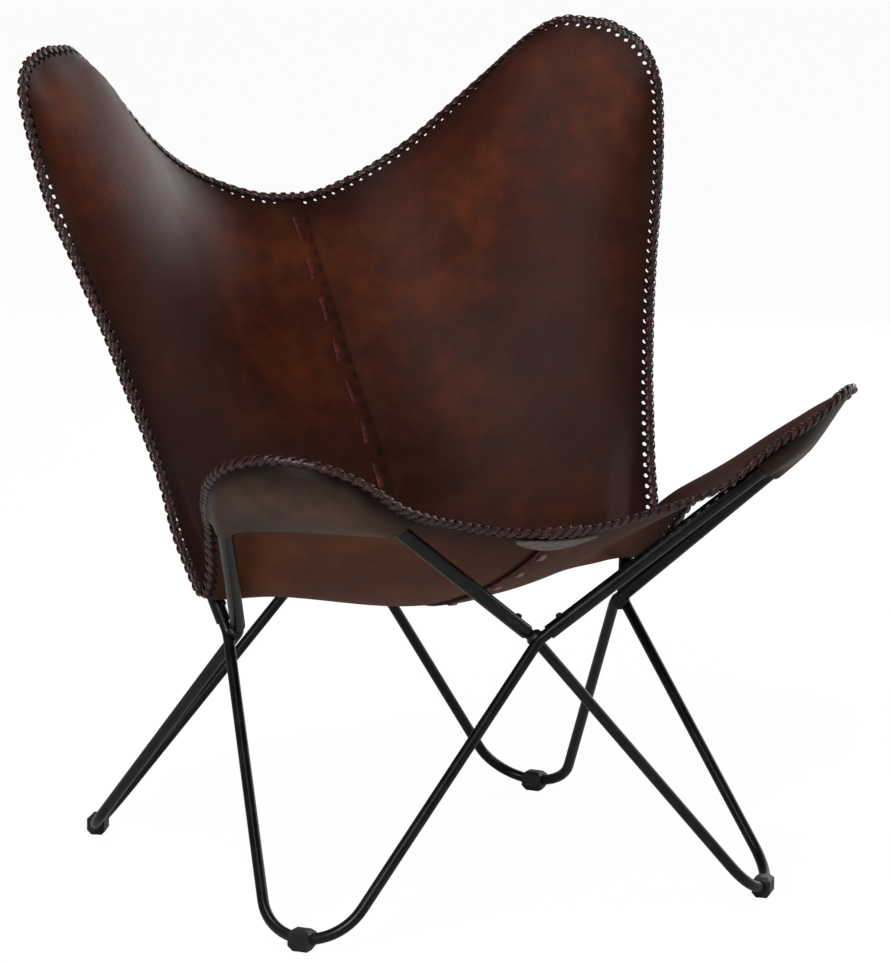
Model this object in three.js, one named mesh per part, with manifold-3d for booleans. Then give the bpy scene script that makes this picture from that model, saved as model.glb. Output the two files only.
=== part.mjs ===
import * as THREE from "three";
import { mergeVertices } from "three/addons/utils/BufferGeometryUtils.js";
import Module from "manifold-3d";

// Sizes in millimetres. The chair faces -Y, +Z is up, and the floor is at zero.

// Steel sections
const ROD_DIAMETER = 12;
const TUBE_DIAMETER = 16;
const TUBE_BORE = 13.6;
const PIECE_GAP = 0.3;

// The four crossings, where two rods are welded side by side
const FRONT_CROSSING_REACH = 295;
const FRONT_CROSSING_HEIGHT = 301;
const BACK_CROSSING_REACH = 188;
const BACK_CROSSING_HEIGHT = 344;
const SIDE_CROSSING_REACH = 235;
const SIDE_CROSSING_FORWARD = 43;
const SIDE_CROSSING_HEIGHT = 280;
const WELD_RADIUS = 10.5;

// Feet: the corner that the two legs of a rod would meet in, and the bend that rounds it
const FRONT_FOOT_SIDE = 318;
const FRONT_FOOT_FORWARD = 358;
const BACK_FOOT_SIDE = 328;
const BACK_FOOT_BACK = 307;
const FOOT_BEND_RADIUS = 60;
const FOOT_ROD_HEIGHT = 12.5;
const KINK_RADIUS = 20;

// Upper loops: the corner that the two legs of a tube would meet in, and its bend
const ARM_CORNER_SIDE = 419;
const ARM_CORNER_FORWARD = 392;
const ARM_CORNER_HEIGHT = 612;
const BACK_CORNER_SIDE = 514;
const BACK_CORNER_BACK = 399;
const BACK_CORNER_HEIGHT = 1358;
const ARM_BEND_RADIUS = 88;
const BACK_BEND_RADIUS = 89;
const TUBE_END_GAP = 13;
const STUB_LENGTH = 44;

// Screws through the tube ends
const SCREW_FROM_TUBE_END = 19;
const SCREW_SHANK_DIAMETER = 4;
const SCREW_HEAD_DIAMETER = 7;
const SCREW_HEAD_HEIGHT = 2.6;
const SCREW_SOCKET_DIAMETER = 3;
const SCREW_SOCKET_DEPTH = 1.2;
const SCREW_TIP_FROM_AXIS = 1;

// Foot glides
const GLIDE_LENGTH = 24;
const GLIDE_WIDTH = 20;
const GLIDE_TOP_WALL = 4.5;
const GLIDE_CHAMFER = 4;

// Leather and laces
const LEATHER_THICKNESS = 3;
const LACE_OVERHANG = 4;
const LACE_INSIDE = 7;
const LACE_STRIP_PLAY = 1;
const LACE_WALL = 2.2;
const SLOT_GAP = 0.5;
const LAP_HALF_WIDTH = 12;
const LAP_GAP = 0.6;
const SEAM_LACE_WIDTH = 5;
const SEAM_LACE_THICKNESS = 1.6;
const SEAM_LACE_GAP = 0.35;
const SEAM_PITCH = 56;
const SEAM_STITCH = 30;
const SEAM_DIVE = 7;
const SEAM_END_INSET = 16;
const PATCH_THICKNESS = 2;
const PATCH_INSET = 8.5;
const PATCH_DEPTH = 16;
const RIDGE_CLEARANCE = 0.7;
const POCKET_INSET = 5.5;
const POCKET_TURN = 2;
const POCKET_SEAT_PLAY = 0.3;
const POCKET_CLEARANCE = 3.5;

// Overall reach of the sling's edge, and the tables of shares of it that draw its line
const SLING_SIDE = 395;
const SLING_DEPTH = 361;
const SLING_HEIGHT = 908;
const SLING_TILT_DEGREES = 10;

// Each half of the edge runs from the middle of the front round the arm corner, down and up
// the side, round the wing and in to the middle of the top: side, back, height. The sling
// hangs a little to the right, so the corners of the two halves differ.
const FRONT_SHARES = [
  [0, -0.983, 0.469],
  [0.256, -0.961, 0.48],
];
const ARM_SHARES = {
  right: [
    [0.495, -1, 0.513],
    [0.601, -0.992, 0.54],
    [0.71, -0.97, 0.568],
    [0.835, -0.931, 0.596],
    [0.954, -0.839, 0.605],
    [0.948, -0.726, 0.587],
    [0.921, -0.615, 0.561],
    [0.879, -0.512, 0.534],
    [0.815, -0.438, 0.505],
  ],
  left: [
    [0.49, -0.994, 0.513],
    [0.599, -0.978, 0.539],
    [0.711, -0.938, 0.56],
    [0.807, -0.847, 0.565],
    [0.868, -0.721, 0.551],
    [0.865, -0.593, 0.525],
    [0.846, -0.532, 0.511],
    [0.825, -0.471, 0.497],
    [0.792, -0.388, 0.483],
  ],
};
const SIDE_SHARES = [
  [0.737, -0.266, 0.436],
  [0.711, -0.205, 0.394],
  [0.706, -0.15, 0.363],
  [0.727, -0.094, 0.385],
  [0.752, -0.044, 0.427],
  [0.77, 0.014, 0.485],
  [0.825, 0.155, 0.597],
  [0.889, 0.271, 0.704],
  [0.959, 0.377, 0.805],
  [1, 0.465, 0.906],
];
const WING_SHARES = {
  right: [
    [0.995, 0.506, 0.95],
    [0.96, 0.561, 0.983],
    [0.901, 0.645, 1.003],
    [0.82, 0.754, 1.006],
    [0.746, 0.827, 0.986],
    [0.681, 0.871, 0.959],
  ],
  left: [
    [0.998, 0.498, 0.941],
    [0.961, 0.553, 0.968],
    [0.87, 0.646, 0.981],
    [0.784, 0.738, 0.975],
    [0.739, 0.795, 0.969],
    [0.689, 0.851, 0.958],
  ],
};
const TOP_SHARES = [
  [0.613, 0.895, 0.931],
  [0.441, 0.958, 0.861],
  [0.238, 1, 0.804],
  [0, 0.967, 0.783],
];
const ARM_CORNER_INDEX = FRONT_SHARES.length + 4;
const WING_CORNER_INDEX = FRONT_SHARES.length + ARM_SHARES.right.length + SIDE_SHARES.length + 2;

// Middle of the sling from front to top, and a line across the seat: the same shares
const MIDDLE_SHARES = [
  [0, -0.834, 0.43],
  [0, -0.582, 0.381],
  [0, -0.349, 0.347],
  [0, -0.086, 0.327],
  [0, 0.03, 0.333],
  [0, 0.112, 0.356],
  [0, 0.177, 0.391],
  [0, 0.247, 0.441],
  [0, 0.366, 0.503],
  [0, 0.54, 0.578],
  [0, 0.726, 0.666],
  [0, 0.867, 0.73],
  [0.29, -0.125, 0.339],
  [0.504, -0.127, 0.351],
];

const POCKET_END_FALL_SHARE = 0.4;

// Rows of a pocket, and how many steps of the border it spans on each side of its corner
const POCKET_ROW_SHARES = [0.3, 0.65, 1];
const ARM_POCKET_STEPS = [5, 6];
const BACK_POCKET_STEPS = [6, 5];

// Where the leather rests on the loops: shares of a bend, and of its legs from bend to end
const BACK_BEND_SHARES = [0, 0.25, 0.5, 0.75, 1];
const BACK_LEG_SHARES = { back: [0.18, 0.36], side: [0.2, 0.42, 0.64] };
const ARM_BEND_SHARES = [0.3, 0.5];
const ARM_LEG_SHARES = { front: [], side: [] };

// How finely the soft forms and bends are drawn
const PANEL_ROWS = 24;
const PANEL_COLUMNS = 11;
const LAP_COLUMNS = 2;
const BEND_STEPS = 10;
const KINK_STEPS = 2;
const ROD_SIDES = 12;
const TUBE_SIDES = 14;
const BORE_SIDES = 9;
const SCREW_SIDES = 9;
const WELD_SIDES = 10;
const DOME_STEPS = 2;

const wasm = await Module();
wasm.setup();
const group = new THREE.Group();
const UP = new THREE.Vector3(0, 0, 1);
const vec = (x, y, z) => new THREE.Vector3(x, y, z);
const lerp = THREE.MathUtils.lerp;
const mirrored = (p) => vec(-p.x, p.y, p.z);
const SIDES = { right: 1, left: -1 };

// Solids

function solidOf(geometry) {
  const bare = geometry.clone();
  bare.deleteAttribute("normal");
  bare.deleteAttribute("uv");
  const merged = mergeVertices(bare);
  const index = merged.index.array;
  const kept = [];
  for (let i = 0; i < index.length; i += 3) {
    const [a, b, c] = [index[i], index[i + 1], index[i + 2]];
    if (a !== b && b !== c && c !== a) kept.push(a, b, c);
  }
  const build = (triangles) =>
    new wasm.Manifold(
      new wasm.Mesh({
        numProp: 3,
        vertProperties: new Float32Array(merged.attributes.position.array),
        triVerts: new Uint32Array(triangles),
      }),
    );
  const solid = build(kept);
  if (solid.volume() > 0) return solid;
  return build(kept.reverse());
}

function addSolid(name, solid, material) {
  const data = solid.getMesh();
  const geometry = new THREE.BufferGeometry();
  const places = new Float32Array(data.numVert * 3);
  for (let i = 0; i < data.numVert; i++)
    places.set(data.vertProperties.subarray(i * data.numProp, i * data.numProp + 3), i * 3);
  geometry.setAttribute("position", new THREE.BufferAttribute(places, 3));
  geometry.setIndex(new THREE.BufferAttribute(new Uint32Array(data.triVerts), 1));
  geometry.computeVertexNormals();
  const mesh = new THREE.Mesh(geometry, material());
  mesh.name = name;
  group.add(mesh);
}

function largestBody(solid) {
  const bodies = solid.decompose();
  bodies.sort((a, b) => b.volume() - a.volume());
  return bodies[0];
}

function geometryOf(points, triangles) {
  const geometry = new THREE.BufferGeometry();
  const places = new Float32Array(points.flatMap((p) => [p.x, p.y, p.z]));
  geometry.setAttribute("position", new THREE.BufferAttribute(places, 3));
  geometry.setIndex(triangles);
  return geometry;
}

// Materials

const steel = () =>
  new THREE.MeshStandardMaterial({ color: 0x1d1d1c, roughness: 0.32, metalness: 0.4 });
const screwSteel = () =>
  new THREE.MeshStandardMaterial({ color: 0x232322, roughness: 0.38, metalness: 0.6 });
const weldSteel = () =>
  new THREE.MeshStandardMaterial({ color: 0x20201f, roughness: 0.5, metalness: 0.4 });
const glidePlastic = () =>
  new THREE.MeshStandardMaterial({ color: 0x2b2a2c, roughness: 0.55, metalness: 0 });
const leather = () =>
  new THREE.MeshStandardMaterial({ color: 0x44200f, roughness: 0.36, metalness: 0 });
const pocketLeather = () =>
  new THREE.MeshStandardMaterial({ color: 0x4a3024, roughness: 0.4, metalness: 0 });
const plaitLeather = () =>
  new THREE.MeshStandardMaterial({ color: 0x3a1612, roughness: 0.45, metalness: 0 });
const laceLeather = () =>
  new THREE.MeshStandardMaterial({ color: 0x5a2016, roughness: 0.5, metalness: 0 });
const patchLeather = () =>
  new THREE.MeshStandardMaterial({ color: 0x6a5a52, roughness: 0.6, metalness: 0 });

// Bent rods and tubes

class StationPath extends THREE.Curve {
  constructor(stations) {
    super();
    this.stations = stations;
  }
  getPoint(t, target = new THREE.Vector3()) {
    const spans = this.stations.length - 1;
    const at = Math.min(Math.floor(t * spans), spans - 1);
    return target.lerpVectors(this.stations[at], this.stations[at + 1], t * spans - at);
  }
  getUtoTmapping(u) {
    return u;
  }
}

// The bend that rounds the corner b of the path a, b, c
function bendOf(a, b, c, radius) {
  const toA = a.clone().sub(b).normalize();
  const toC = c.clone().sub(b).normalize();
  const half = toA.angleTo(toC) / 2;
  const inward = toA.clone().add(toC).normalize();
  const across = toA.clone().sub(toC).normalize();
  const centre = b.clone().addScaledVector(inward, radius / Math.sin(half));
  const turn = Math.PI / 2 - half;
  const at = (share) => {
    const angle = turn * (1 - 2 * share);
    return centre
      .clone()
      .addScaledVector(inward, -radius * Math.cos(angle))
      .addScaledVector(across, radius * Math.sin(angle));
  };
  return { at, centre, inward, across, radius };
}

function bentPath(points, radii, steps) {
  const out = [points[0]];
  for (let i = 1; i < points.length - 1; i++) {
    const bend = bendOf(points[i - 1], points[i], points[i + 1], radii[i - 1]);
    for (let k = 0; k <= steps[i - 1]; k++) out.push(bend.at(k / steps[i - 1]));
  }
  out.push(points[points.length - 1]);
  return out;
}

function circle(diameter, sides, Kind = THREE.Shape) {
  const points = [];
  for (let i = 0; i < sides; i++) {
    const angle = (2 * Math.PI * i) / sides;
    points.push(new THREE.Vector2(Math.cos(angle), Math.sin(angle)).multiplyScalar(diameter / 2));
  }
  return new Kind(points);
}

function sweep(stations, diameter, sides, bore = 0, boreSides = 0) {
  const shape = circle(diameter, sides);
  if (bore > 0) shape.holes.push(circle(bore, boreSides, THREE.Path));
  return solidOf(
    new THREE.ExtrudeGeometry(shape, {
      steps: stations.length - 1,
      extrudePath: new StationPath(stations),
      bevelEnabled: false,
    }),
  );
}

// Places of the crossings, feet and loops

const crossings = {
  front: vec(0, -FRONT_CROSSING_REACH, FRONT_CROSSING_HEIGHT),
  back: vec(0, BACK_CROSSING_REACH, BACK_CROSSING_HEIGHT),
  left: vec(-SIDE_CROSSING_REACH, -SIDE_CROSSING_FORWARD, SIDE_CROSSING_HEIGHT),
  right: vec(SIDE_CROSSING_REACH, -SIDE_CROSSING_FORWARD, SIDE_CROSSING_HEIGHT),
};
const loopCorners = {
  arm_left: vec(-ARM_CORNER_SIDE, -ARM_CORNER_FORWARD, ARM_CORNER_HEIGHT),
  arm_right: vec(ARM_CORNER_SIDE, -ARM_CORNER_FORWARD, ARM_CORNER_HEIGHT),
  back_left: vec(-BACK_CORNER_SIDE, BACK_CORNER_BACK, BACK_CORNER_HEIGHT),
  back_right: vec(BACK_CORNER_SIDE, BACK_CORNER_BACK, BACK_CORNER_HEIGHT),
};

// A foot's corner lies so low that the rod's lowest point is at the height of a glide's bore
function footCorner(place, a, b) {
  const corner = place.clone();
  for (let i = 0; i < BEND_STEPS; i++)
    corner.z += FOOT_ROD_HEIGHT - lowestOf(bendOf(a, corner, b, FOOT_BEND_RADIUS)).place.z;
  return corner;
}

function lowestOf(bend) {
  const down = bend.inward
    .clone()
    .multiplyScalar(-bend.inward.z)
    .addScaledVector(bend.across, -bend.across.z)
    .normalize();
  const along = bend.inward.clone().cross(bend.across).normalize().cross(down).normalize();
  return { place: bend.centre.clone().addScaledVector(down, bend.radius), along };
}

const footPlaces = {
  front_left: vec(-FRONT_FOOT_SIDE, -FRONT_FOOT_FORWARD, 0),
  front_right: vec(FRONT_FOOT_SIDE, -FRONT_FOOT_FORWARD, 0),
  back_left: vec(-BACK_FOOT_SIDE, BACK_FOOT_BACK, 0),
  back_right: vec(BACK_FOOT_SIDE, BACK_FOOT_BACK, 0),
};

// Each rod goes from a loop's end through a crossing, its foot and another crossing to a
// loop's end. Of the two rods in a crossing one passes outside and the other inside.
const rods = {
  front_left: {
    ends: ["arm_right", "back_left"],
    through: ["front", "left"],
    outside: [1, 1],
  },
  front_right: {
    ends: ["arm_left", "back_right"],
    through: ["front", "right"],
    outside: [-1, 1],
  },
  back_left: {
    ends: ["back_right", "arm_left"],
    through: ["back", "left"],
    outside: [1, -1],
  },
  back_right: {
    ends: ["back_left", "arm_right"],
    through: ["back", "right"],
    outside: [-1, -1],
  },
};

// The way out of a crossing, square to both of its rods
function crossingNormal(name) {
  const place = crossings[name];
  const chords = [];
  for (const [foot, rod] of Object.entries(rods)) {
    const end = rod.through.indexOf(name);
    if (end < 0) continue;
    const upward = loopCorners[rod.ends[end]].clone().sub(place).normalize();
    const low = footCorner(footPlaces[foot], ...rod.through.map((other) => crossings[other]));
    const downward = low.sub(place).normalize();
    chords.push(upward.sub(downward).normalize());
  }
  const normal = chords[0].cross(chords[1]).normalize();
  const outward = vec(place.x, place.y, 0);
  return normal.dot(outward) < 0 ? normal.negate() : normal;
}

const rodOffset = (ROD_DIAMETER + PIECE_GAP) / 2;
const normals = {};
for (const name of Object.keys(crossings)) normals[name] = crossingNormal(name);

// Where a rod's middle line turns in a crossing, and its straight end in the loop's tube
const joints = {};
for (const [foot, rod] of Object.entries(rods)) {
  rod.turns = rod.through.map((name, i) =>
    crossings[name].clone().addScaledVector(normals[name], rodOffset * rod.outside[i]),
  );
  rod.ends.forEach((loop, i) => {
    const way = loopCorners[loop].clone().sub(rod.turns[i]).normalize();
    joints[loop] = joints[loop] || [];
    joints[loop].push({ turn: rod.turns[i], way, foot, crossing: rod.through[i] });
  });
  const stubs = rod.ends.map((loop, i) => {
    const way = loopCorners[loop].clone().sub(rod.turns[i]).normalize();
    return rod.turns[i].clone().addScaledVector(way, TUBE_END_GAP + STUB_LENGTH);
  });
  const corner = footCorner(footPlaces[foot], ...rod.turns);
  rod.stations = bentPath(
    [stubs[0], rod.turns[0], corner, rod.turns[1], stubs[1]],
    [KINK_RADIUS, FOOT_BEND_RADIUS, KINK_RADIUS],
    [KINK_STEPS, BEND_STEPS, KINK_STEPS],
  );
  rod.bend = bendOf(rod.turns[0], corner, rod.turns[1], FOOT_BEND_RADIUS);
  rod.solid = sweep(rod.stations, ROD_DIAMETER, ROD_SIDES);
  rod.room = sweep(rod.stations, ROD_DIAMETER + 2 * PIECE_GAP, ROD_SIDES);
}

const loops = {};
for (const [name, ends] of Object.entries(joints)) {
  const starts = ends.map((e) => e.turn.clone().addScaledVector(e.way, TUBE_END_GAP));
  const radius = name.startsWith("arm") ? ARM_BEND_RADIUS : BACK_BEND_RADIUS;
  const corner = loopCorners[name];
  const stations = bentPath([starts[0], corner, starts[1]], [radius], [BEND_STEPS]);
  const plane = starts[0].clone().sub(corner).cross(starts[1].clone().sub(corner)).normalize();
  if (plane.z < 0) plane.negate();
  loops[name] = {
    stations,
    starts,
    ends,
    plane,
    corner,
    bend: bendOf(starts[0], corner, starts[1], radius),
    solid: sweep(stations, TUBE_DIAMETER, TUBE_SIDES, TUBE_BORE, BORE_SIDES),
  };
}

// Screws

function screwSolid(place, way) {
  const head = SCREW_HEAD_DIAMETER / 2;
  const seat = TUBE_DIAMETER / 2 + PIECE_GAP;
  const shank = SCREW_SHANK_DIAMETER / 2;
  const profile = [
    new THREE.Vector2(0, SCREW_TIP_FROM_AXIS),
    new THREE.Vector2(shank, SCREW_TIP_FROM_AXIS),
    new THREE.Vector2(shank, seat),
    new THREE.Vector2(head, seat),
  ];
  for (let i = 0; i <= DOME_STEPS; i++) {
    const angle = (Math.PI / 2) * (i / DOME_STEPS);
    const rise = SCREW_HEAD_HEIGHT * (0.35 + 0.65 * Math.sin(angle));
    profile.push(new THREE.Vector2(i < DOME_STEPS ? head * Math.cos(angle) : 0, seat + rise));
  }
  const solid = solidOf(new THREE.LatheGeometry(profile, SCREW_SIDES));
  const socket = new THREE.CylinderGeometry(
    SCREW_SOCKET_DIAMETER / 2,
    SCREW_SOCKET_DIAMETER / 2,
    2 * SCREW_SOCKET_DEPTH,
    6,
  );
  socket.translate(0, seat + SCREW_HEAD_HEIGHT, 0);
  return turned(solid.subtract(solidOf(socket)), place, way);
}

function turned(solid, place, way) {
  const matrix = new THREE.Matrix4().compose(
    place,
    new THREE.Quaternion().setFromUnitVectors(vec(0, 1, 0), way),
    vec(1, 1, 1),
  );
  return solid.transform(matrix.elements);
}

function screwHole(place, way) {
  const reach = TUBE_DIAMETER - SCREW_TIP_FROM_AXIS;
  const hole = new THREE.CylinderGeometry(
    SCREW_SHANK_DIAMETER / 2 + PIECE_GAP,
    SCREW_SHANK_DIAMETER / 2 + PIECE_GAP,
    reach,
    8,
  );
  hole.translate(0, reach / 2 + SCREW_TIP_FROM_AXIS - PIECE_GAP, 0);
  return turned(solidOf(hole), place, way);
}

const screws = {};
for (const [name, loop] of Object.entries(loops)) {
  for (const end of loop.ends) {
    const place = end.turn
      .clone()
      .addScaledVector(end.way, TUBE_END_GAP + SCREW_FROM_TUBE_END);
    const up = UP.clone().addScaledVector(end.way, -UP.dot(end.way)).normalize();
    const hole = screwHole(place, up);
    loop.solid = loop.solid.subtract(hole);
    rods[end.foot].solid = rods[end.foot].solid.subtract(hole);
    screws["screw_" + name + "_" + end.crossing] = screwSolid(place, up);
  }
}

for (const [name, rod] of Object.entries(rods)) addSolid("base_rod_" + name, rod.solid, steel);
for (const [name, loop] of Object.entries(loops)) {
  const [where, side] = name.split("_");
  addSolid(where + "_loop_" + side, loop.solid, steel);
}
for (const [name, solid] of Object.entries(screws)) addSolid(name, solid, screwSteel);

// Welds: a bead in the crossing, clear of the rods

for (const [name, place] of Object.entries(crossings)) {
  const ball = new THREE.SphereGeometry(WELD_RADIUS, WELD_SIDES, 6);
  ball.translate(place.x, place.y, place.z);
  let bead = solidOf(ball);
  for (const rod of Object.values(rods))
    if (rod.through.includes(name)) bead = bead.subtract(rod.room);
  addSolid("weld_" + name, largestBody(bead), weldSteel);
}

// Foot glides

function prism(outline, length, across, up, along, place) {
  const geometry = new THREE.ExtrudeGeometry(
    new THREE.Shape(outline.map(([x, y]) => new THREE.Vector2(x, y))),
    { depth: length, bevelEnabled: false },
  );
  geometry.translate(0, 0, -length / 2);
  const matrix = new THREE.Matrix4().makeBasis(across, up, along).setPosition(place);
  return solidOf(geometry.applyMatrix4(matrix));
}

function glide(rod) {
  const low = lowestOf(rod.bend);
  const across = low.along.clone().cross(UP).normalize().negate();
  const floor = vec(low.place.x, low.place.y, 0);
  const top = FOOT_ROD_HEIGHT + ROD_DIAMETER / 2 + GLIDE_TOP_WALL;
  const outline = (width) => [
    [-width / 2 + GLIDE_CHAMFER, 0],
    [width / 2 - GLIDE_CHAMFER, 0],
    [width / 2, 1.5 * GLIDE_CHAMFER],
    [width / 2, top - GLIDE_CHAMFER],
    [width / 2 - GLIDE_CHAMFER, top],
    [-width / 2 + GLIDE_CHAMFER, top],
    [-width / 2, top - GLIDE_CHAMFER],
    [-width / 2, 1.5 * GLIDE_CHAMFER],
  ];
  const lengthwise = prism(outline(GLIDE_WIDTH), GLIDE_LENGTH, across, UP, low.along, floor);
  const sideAxis = across.clone();
  const crosswise = prism(
    outline(GLIDE_LENGTH).map(([x, y]) => [-x, y]).reverse(),
    GLIDE_WIDTH,
    low.along,
    UP,
    sideAxis.clone().negate(),
    floor,
  );
  return largestBody(lengthwise.intersect(crosswise).subtract(rod.room));
}

for (const [name, rod] of Object.entries(rods))
  addSolid("foot_glide_" + name, glide(rod), glidePlastic);

// The sling's surface: a thin plate over a tilted plane, held at given points. Places in
// the plane are x and w, and h is the height over it.

const tilt = THREE.MathUtils.degToRad(SLING_TILT_DEGREES);
const toPlate = (p) => ({
  x: p.x,
  w: p.y * Math.cos(tilt) + p.z * Math.sin(tilt),
  h: p.z * Math.cos(tilt) - p.y * Math.sin(tilt),
});
const fromPlate = (x, w, h) =>
  vec(x, w * Math.cos(tilt) - h * Math.sin(tilt), w * Math.sin(tilt) + h * Math.cos(tilt));
const fromShares = ([side, back, height]) =>
  vec(side * SLING_SIDE, back * SLING_DEPTH, height * SLING_HEIGHT);

function kernel(dx, dw) {
  const square = dx * dx + dw * dw;
  return square > 0 ? square * Math.log(square) : 0;
}

function solve(rows) {
  const n = rows.length;
  for (let i = 0; i < n; i++) {
    let best = i;
    for (let k = i + 1; k < n; k++)
      if (Math.abs(rows[k][i]) > Math.abs(rows[best][i])) best = k;
    [rows[i], rows[best]] = [rows[best], rows[i]];
    for (let k = i + 1; k < n; k++) {
      const factor = rows[k][i] / rows[i][i];
      if (factor === 0) continue;
      for (let j = i; j <= n; j++) rows[k][j] -= factor * rows[i][j];
    }
  }
  const out = new Array(n).fill(0);
  for (let i = n - 1; i >= 0; i--) {
    let sum = rows[i][n];
    for (let j = i + 1; j < n; j++) sum -= rows[i][j] * out[j];
    out[i] = sum / rows[i][i];
  }
  return out;
}

// Height of the plate that passes through the points
function thinPlate(points) {
  const unit = SLING_DEPTH;
  const knots = points.map(toPlate).map((p) => ({ x: p.x / unit, w: p.w / unit, h: p.h / unit }));
  const trend = (x, w) => [1, x, w];
  const rows = knots.map((p) => [
    ...knots.map((k) => kernel(p.x - k.x, p.w - k.w)),
    ...trend(p.x, p.w),
    p.h,
  ]);
  for (const i of trend(0, 0).keys())
    rows.push([...knots.map((k) => trend(k.x, k.w)[i]), ...trend(0, 0).fill(0), 0]);
  const weights = solve(rows);
  return (x, w) => {
    let sum = 0;
    for (const [i, k] of knots.entries()) sum += weights[i] * kernel(x / unit - k.x, w / unit - k.w);
    for (const [i, value] of trend(x / unit, w / unit).entries())
      sum += weights[knots.length + i] * value;
    return sum * unit;
  };
}

// The middle comes first and last in both halves of the edge
function edgeOf(side) {
  const shares = [
    ...FRONT_SHARES,
    ...ARM_SHARES[side],
    ...SIDE_SHARES,
    ...WING_SHARES[side],
    ...TOP_SHARES,
  ];
  const places = shares.map(fromShares);
  return side === "left" ? places.map(mirrored) : places;
}
const edges = { right: edgeOf("right"), left: edgeOf("left") };
const lastKnot = edges.right.length - 1;
const ridge = TUBE_DIAMETER / 2 + LEATHER_THICKNESS / 2 + PIECE_GAP + RIDGE_CLEARANCE;

// Points where the leather lies over a loop: shares of the bend, then shares of its legs
function ridgeKnots(loop, bendShares, legShares) {
  const places = bendShares.map((share) => loop.bend.at(share));
  loop.starts.forEach((start, i) => {
    const end = loop.bend.at(i);
    const crossing = loop.ends[i].crossing;
    const shares = legShares[crossing] || legShares.side;
    for (const share of shares) places.push(end.clone().lerp(start, share));
  });
  return places.map((p) => p.addScaledVector(loop.plane, ridge));
}

const middleKnots = MIDDLE_SHARES.map(fromShares);
const plate = thinPlate([
  ...edges.right,
  ...edges.left.slice(1, -1),
  ...middleKnots,
  ...middleKnots.filter((p) => p.x > 0).map(mirrored),
  ...["back_right", "back_left"].flatMap((name) =>
    ridgeKnots(loops[name], BACK_BEND_SHARES, BACK_LEG_SHARES),
  ),
  ...["arm_right", "arm_left"].flatMap((name) =>
    ridgeKnots(loops[name], ARM_BEND_SHARES, ARM_LEG_SHARES),
  ),
]);
const onPlate = (x, w) => fromPlate(x, w, plate(x, w));

// The cut edge of the leather: the edge line, drawn in by the lace's overhang

function alongEdge(side, t) {
  const knots = edges[side];
  const at = Math.min(Math.floor(t), lastKnot - 1);
  const f = t - at;
  const other = edges[side === "left" ? "right" : "left"];
  const before = at > 0 ? knots[at - 1] : other[1];
  const after = at + 2 <= lastKnot ? knots[at + 2] : other[lastKnot - 1];
  const [b, c] = [knots[at], knots[at + 1]];
  const mix = (p, q, r, s) =>
    0.5 * (2 * q + (r - p) * f + (2 * p - 5 * q + 4 * r - s) * f * f +
      (3 * q - p - 3 * r + s) * f * f * f);
  return vec(
    mix(before.x, b.x, c.x, after.x),
    mix(before.y, b.y, c.y, after.y),
    mix(before.z, b.z, c.z, after.z),
  );
}

function plateNormal(x, w) {
  const step = LEATHER_THICKNESS;
  const slopeX = (plate(x + step, w) - plate(x - step, w)) / (2 * step);
  const slopeW = (plate(x, w + step) - plate(x, w - step)) / (2 * step);
  return fromPlate(-slopeX, -slopeW, 1).normalize();
}

// The place on the leather at a distance inside the edge line's point t
function insideEdge(side, t, distance) {
  const step = 0.05;
  const here = toPlate(alongEdge(side, t));
  const a = alongEdge(side, Math.max(t - step, 0));
  const b = alongEdge(side, Math.min(t + step, lastKnot));
  const along = b.sub(a).normalize();
  const normal = plateNormal(here.x, here.w);
  const inward = normal.clone().cross(along).normalize().multiplyScalar(SIDES[side]);
  const moved = toPlate(onPlate(here.x, here.w).addScaledVector(inward, distance));
  return { x: moved.x, w: moved.w };
}

// The t at which the drawn-in edge is at a given distance from the middle
function edgeAtSide(side, distance, from, to) {
  const reach = (t) => insideEdge(side, t, LACE_OVERHANG).x * SIDES[side];
  let [low, high] = [from, to];
  const rising = reach(to) > reach(from);
  for (let i = 0; i < 40; i++) {
    const middle = (low + high) / 2;
    if (reach(middle) < distance === rising) low = middle;
    else high = middle;
  }
  return (low + high) / 2;
}

// Parts a line into equal lengths: the values of its parameter between two given ones
function evenly(from, to, count, placeAt) {
  const samples = 400;
  const lengths = [0];
  for (let i = 1; i <= samples; i++) {
    const [a, b] = [i - 1, i].map((k) => placeAt(lerp(from, to, k / samples)));
    lengths.push(lengths[i - 1] + a.distanceTo(b));
  }
  const out = [];
  for (let k = 0; k <= count; k++) {
    const want = (lengths[samples] * k) / count;
    let i = 1;
    while (i < samples && lengths[i] < want) i++;
    const f = (want - lengths[i - 1]) / (lengths[i] - lengths[i - 1]);
    out.push(lerp(from, to, (i - 1 + f) / samples));
  }
  return out;
}

// Grid of one half in the plane: column 1 is the middle line, columns 0 and 2 the edges of
// the lap, and the last column the side

const span = PANEL_COLUMNS - LAP_COLUMNS;
const middleEnds = [0, lastKnot].map((t) => insideEdge("right", t, LACE_OVERHANG).w);
const middleRows = evenly(...middleEnds, PANEL_ROWS, (w) => onPlate(0, w));

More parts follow.
